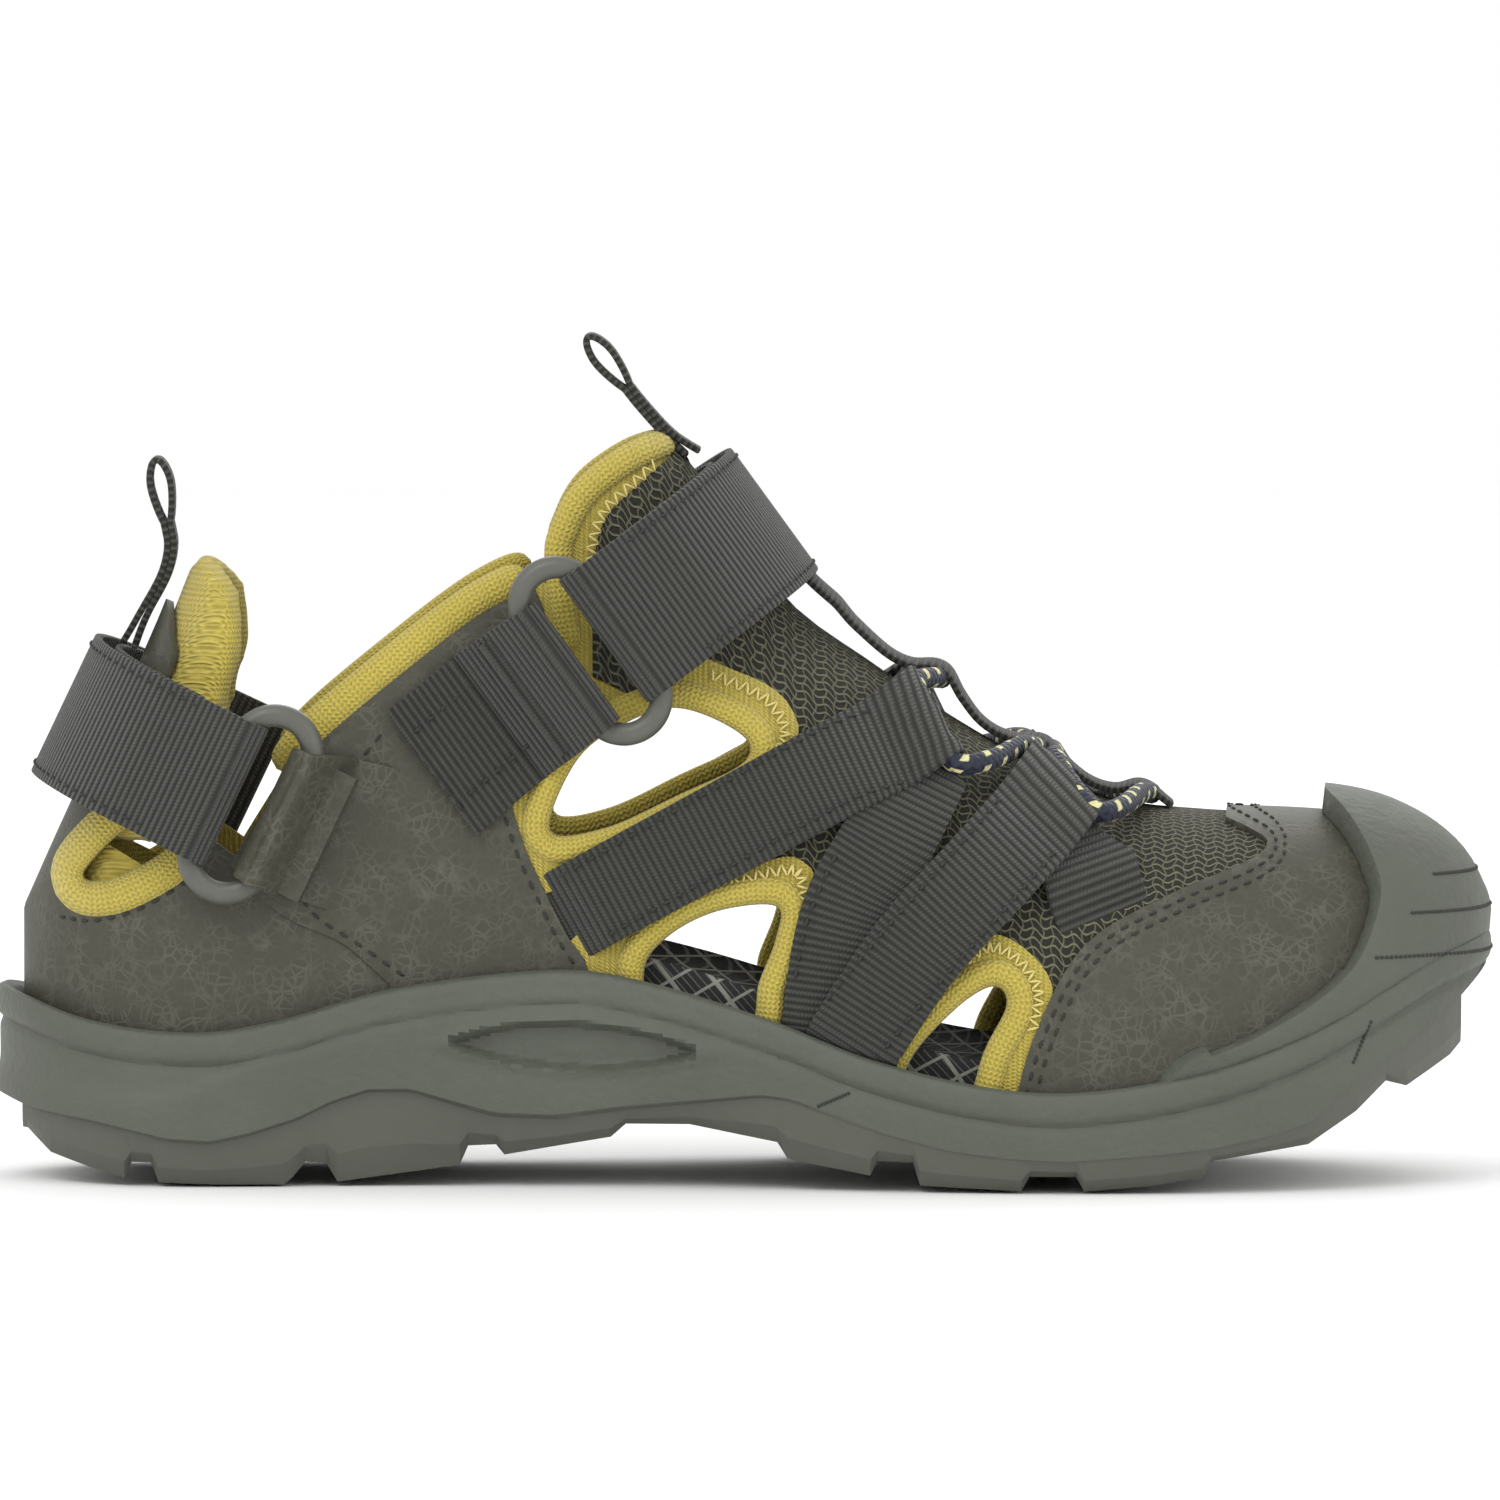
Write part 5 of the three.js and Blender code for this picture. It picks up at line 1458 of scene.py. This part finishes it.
def on_upper(points, side, lift, shift=0.0, smooth=True):
    """A side-view line laid on the upper, moved to its left, with the way out at each place."""
    line = even(spline(points, 8) if smooth else np.array(points, float), 90)
    line = line + sideways(line) * shift
    found = laid(line / 1000, side, lift)
    return lasted(found[:, 0], found[:, 1], lift), off_last(found[:, 0], found[:, 1])


def sew(name, points, side, lift, shift=0.0, pitch=0.0030, smooth=True):
    line, out = on_upper(points, side, lift, shift, smooth)
    first, second = running(line, pitch)
    share = np.linspace(0, 1, len(first))
    along = np.linspace(0, 1, len(out))
    way = np.stack([np.interp(share, along, out[:, k]) for k in range(3)], -1)
    stitch(name, (first, second), way, THREAD, dark_thread_and_painted_shadow)


def zigzag(name, points, side, lift, shift, reach=1.1, pitch=2.0):
    line = spline(points, 8)
    count = int(length_of(line) / pitch) * 2 + 1
    line = even(line, count)
    line = line + sideways(line) * (shift + reach * (np.arange(count) % 2 * 2 - 1))[:, None]
    found = laid(line / 1000, side, lift)
    places = lasted(found[:, 0], found[:, 1], lift)
    out = off_last(found[:, 0], found[:, 1])
    stitch(name, (places[:-1], places[1:]), out[:-1], FINE_THREAD, yellow_thread)


SEAMS = {
    "toe_outer": (toe_edge, LEATHER_TOP, 1.5, 0.0027),
    "toe_inner": (toe_edge, LEATHER_TOP, 3.1, 0.0027),
    "quarter_front": ([(-38.6, 75), (-39.8, 66), (-37.6, 57), (-34.6, 50), (-30.4, 41.5),
                       (-27.4, 37)], LEATHER_TOP, -1.6, 0.0028),
    "quarter_rear": ([(-61, 75.3), (-66, 69), (-70.5, 62), (-73.8, 55), (-75, 48.8),
                      (-72.5, 44.2), (-66, 39.8), (-57, 33.6)], LEATHER_TOP, 0.6, 0.0028),
    "heel_window": ([(-115, 43.6), (-109, 43.2), (-102, 45), (-95, 48.8), (-90, 52.4)],
                    LEATHER_TOP - 0.0004, 0, 0.0028),
    "rear_leg_upper": ([(-29, 45.4), (10.9, 68.2), (24, 73)], 0.0051, 6.2, 0.0026),
    "rear_leg_lower": ([(-27, 46.6), (10.9, 68.2), (24, 73)], 0.0051, -6.2, 0.0026),
    "front_leg_upper": ([(17, 27), (26, 38), (40, 53.5), (46, 60)], 0.0061, 6.2, 0.0026),
    "front_leg_lower": ([(17, 27), (26, 38), (40, 53.5), (46, 60)], 0.0061, -6.2, 0.0026),
    "rear_return_edge": ([(13.4, 33), (15.5, 43), (20, 53)], 0.0043, 6.2, 0.0026),
}
ZIGZAGS = {
    "instep": ([(-1, 65.8), (5.5, 70.5), (7.3, 75.5), (3.4, 81.6), (-6, 86)], 1.5),
    "arch": ([(-6, 50.8), (4, 53.8), (9, 53.2), (10.2, 48), (8, 38)], -1.5),
    "forefoot": ([(29, 34), (34.5, 39.2), (39.8, 41.8), (45.4, 39), (49, 33), (48, 26)], -1.6),
    "tongue": ([(-16, 119.2), (-20.4, 115.4), (-24.6, 111.4), (-26.6, 105.7), (-27, 99)], 0.6),
}
for side, word in ((MEDIAL, "medial"), (LATERAL, "lateral")):
    for name, (points, lift, shift, pitch) in SEAMS.items():
        sew(f"{name}_seam_{word}", points, side, lift + 0.0001, shift, pitch)
    for name, (points, shift) in ZIGZAGS.items():
        zigzag(f"{name}_zigzag_{word}", points, side, 0.0027 if name != "tongue" else 0.0030,
               shift)

sew("tab_end_seam", [(-57.4, 75.6), (-46.2, 62.4)], MEDIAL, 0.0049, -1.2, 0.0026, smooth=False)
sew("tab_side_upper_seam", [(-57.2, 76), (-42.6, 88.2)], MEDIAL, 0.0049, -2.0, 0.0026,
    smooth=False)
sew("tab_side_lower_seam", [(-45.8, 62.6), (-32.5, 73.6)], MEDIAL, 0.0049, 2.0, 0.0026,
    smooth=False)
for name, closure in (("instep", instep), ("heel", heel)):
    arch = even(closure.arch(-0.0016, -70, 50, 120), 160)
    for place_, word in ((1, "upper"), (-1, "lower")):
        across = np.full(len(arch), place_ * (WIDE / 2 - 0.0016))
        line = closure.at(arch[:, 0], arch[:, 1], across)
        first, second = running(line, 0.0024)
        way = (first + second) / 2 - closure.centre
        way -= closure.wide * (way @ closure.wide)[:, None]
        stitch(f"{name}_flap_{word}_seam", (first, second), way, 0.0005, dark_thread_and_painted_shadow,
               body=f"{name}_flap")


# ---- Sole slots --------------------------------------------------------------------------
# The rubber round the toe and the foam's sides have narrow grooves moulded into them. Each is
# shown by a thin bead coloured with painted shade, laid along the surface, not by a cut.
# A dark colour painted on the beads as the shade that falls inside the grooves.
painted_groove_shade = finish("painted_groove_shade", thread_finish((0.020, 0.021, 0.017), (0.040, 0.042, 0.034)))
TOE_CENTRE = Vector((0.080, 0, 0))
GROOVE = 0.0007


def outer_wall(spot, out):
    """Where a line from outside first meets the bumper or the sole unit."""
    hits = []
    for body in (bumper, sole_unit):
        hit, place, normal, _ = body.ray_cast(spot + out * 0.1, -out)
        if hit:
            hits.append(((place - spot).dot(out), place, normal))
    return max(hits, key=lambda found: found[0])[1:] if hits else None


def groove(name, spots, outs):
    found = [outer_wall(spot, out) for spot, out in zip(spots, outs)]
    found = [pair for pair in found if pair]
    places = np.array([place for place, _ in found])
    normals = np.array([normal for _, normal in found])
    stitch(name, (places[:-1], places[1:]), normals[:-1], GROOVE, painted_groove_shade)


for number, (z, widest) in enumerate(((51, 34), (45, 46), (38, 58))):
    turns = np.radians(np.linspace(-widest, widest, 90))
    outs = [Vector((math.cos(turn), math.sin(turn), 0)) for turn in turns]
    groove(f"toe_groove_{number + 1}", [TOE_CENTRE + Vector((0, 0, z / 1000))] * 90, outs)
for word, (ax, az), (bx, bz) in (("waist", (16.5, 16.2), (11, 13.8)),
                                 ("forefoot", (102.5, 27.8), (99.3, 20.6))):
    for side, side_word in ((MEDIAL, "medial"), (LATERAL, "lateral")):
        share = np.linspace(0, 1, 12)
        spots = [Vector((ax + (bx - ax) * k, 0, az + (bz - az) * k)) / 1000 for k in share]
        groove(f"{word}_slot_{side_word}", spots, [Vector((0, side, 0))] * 12)
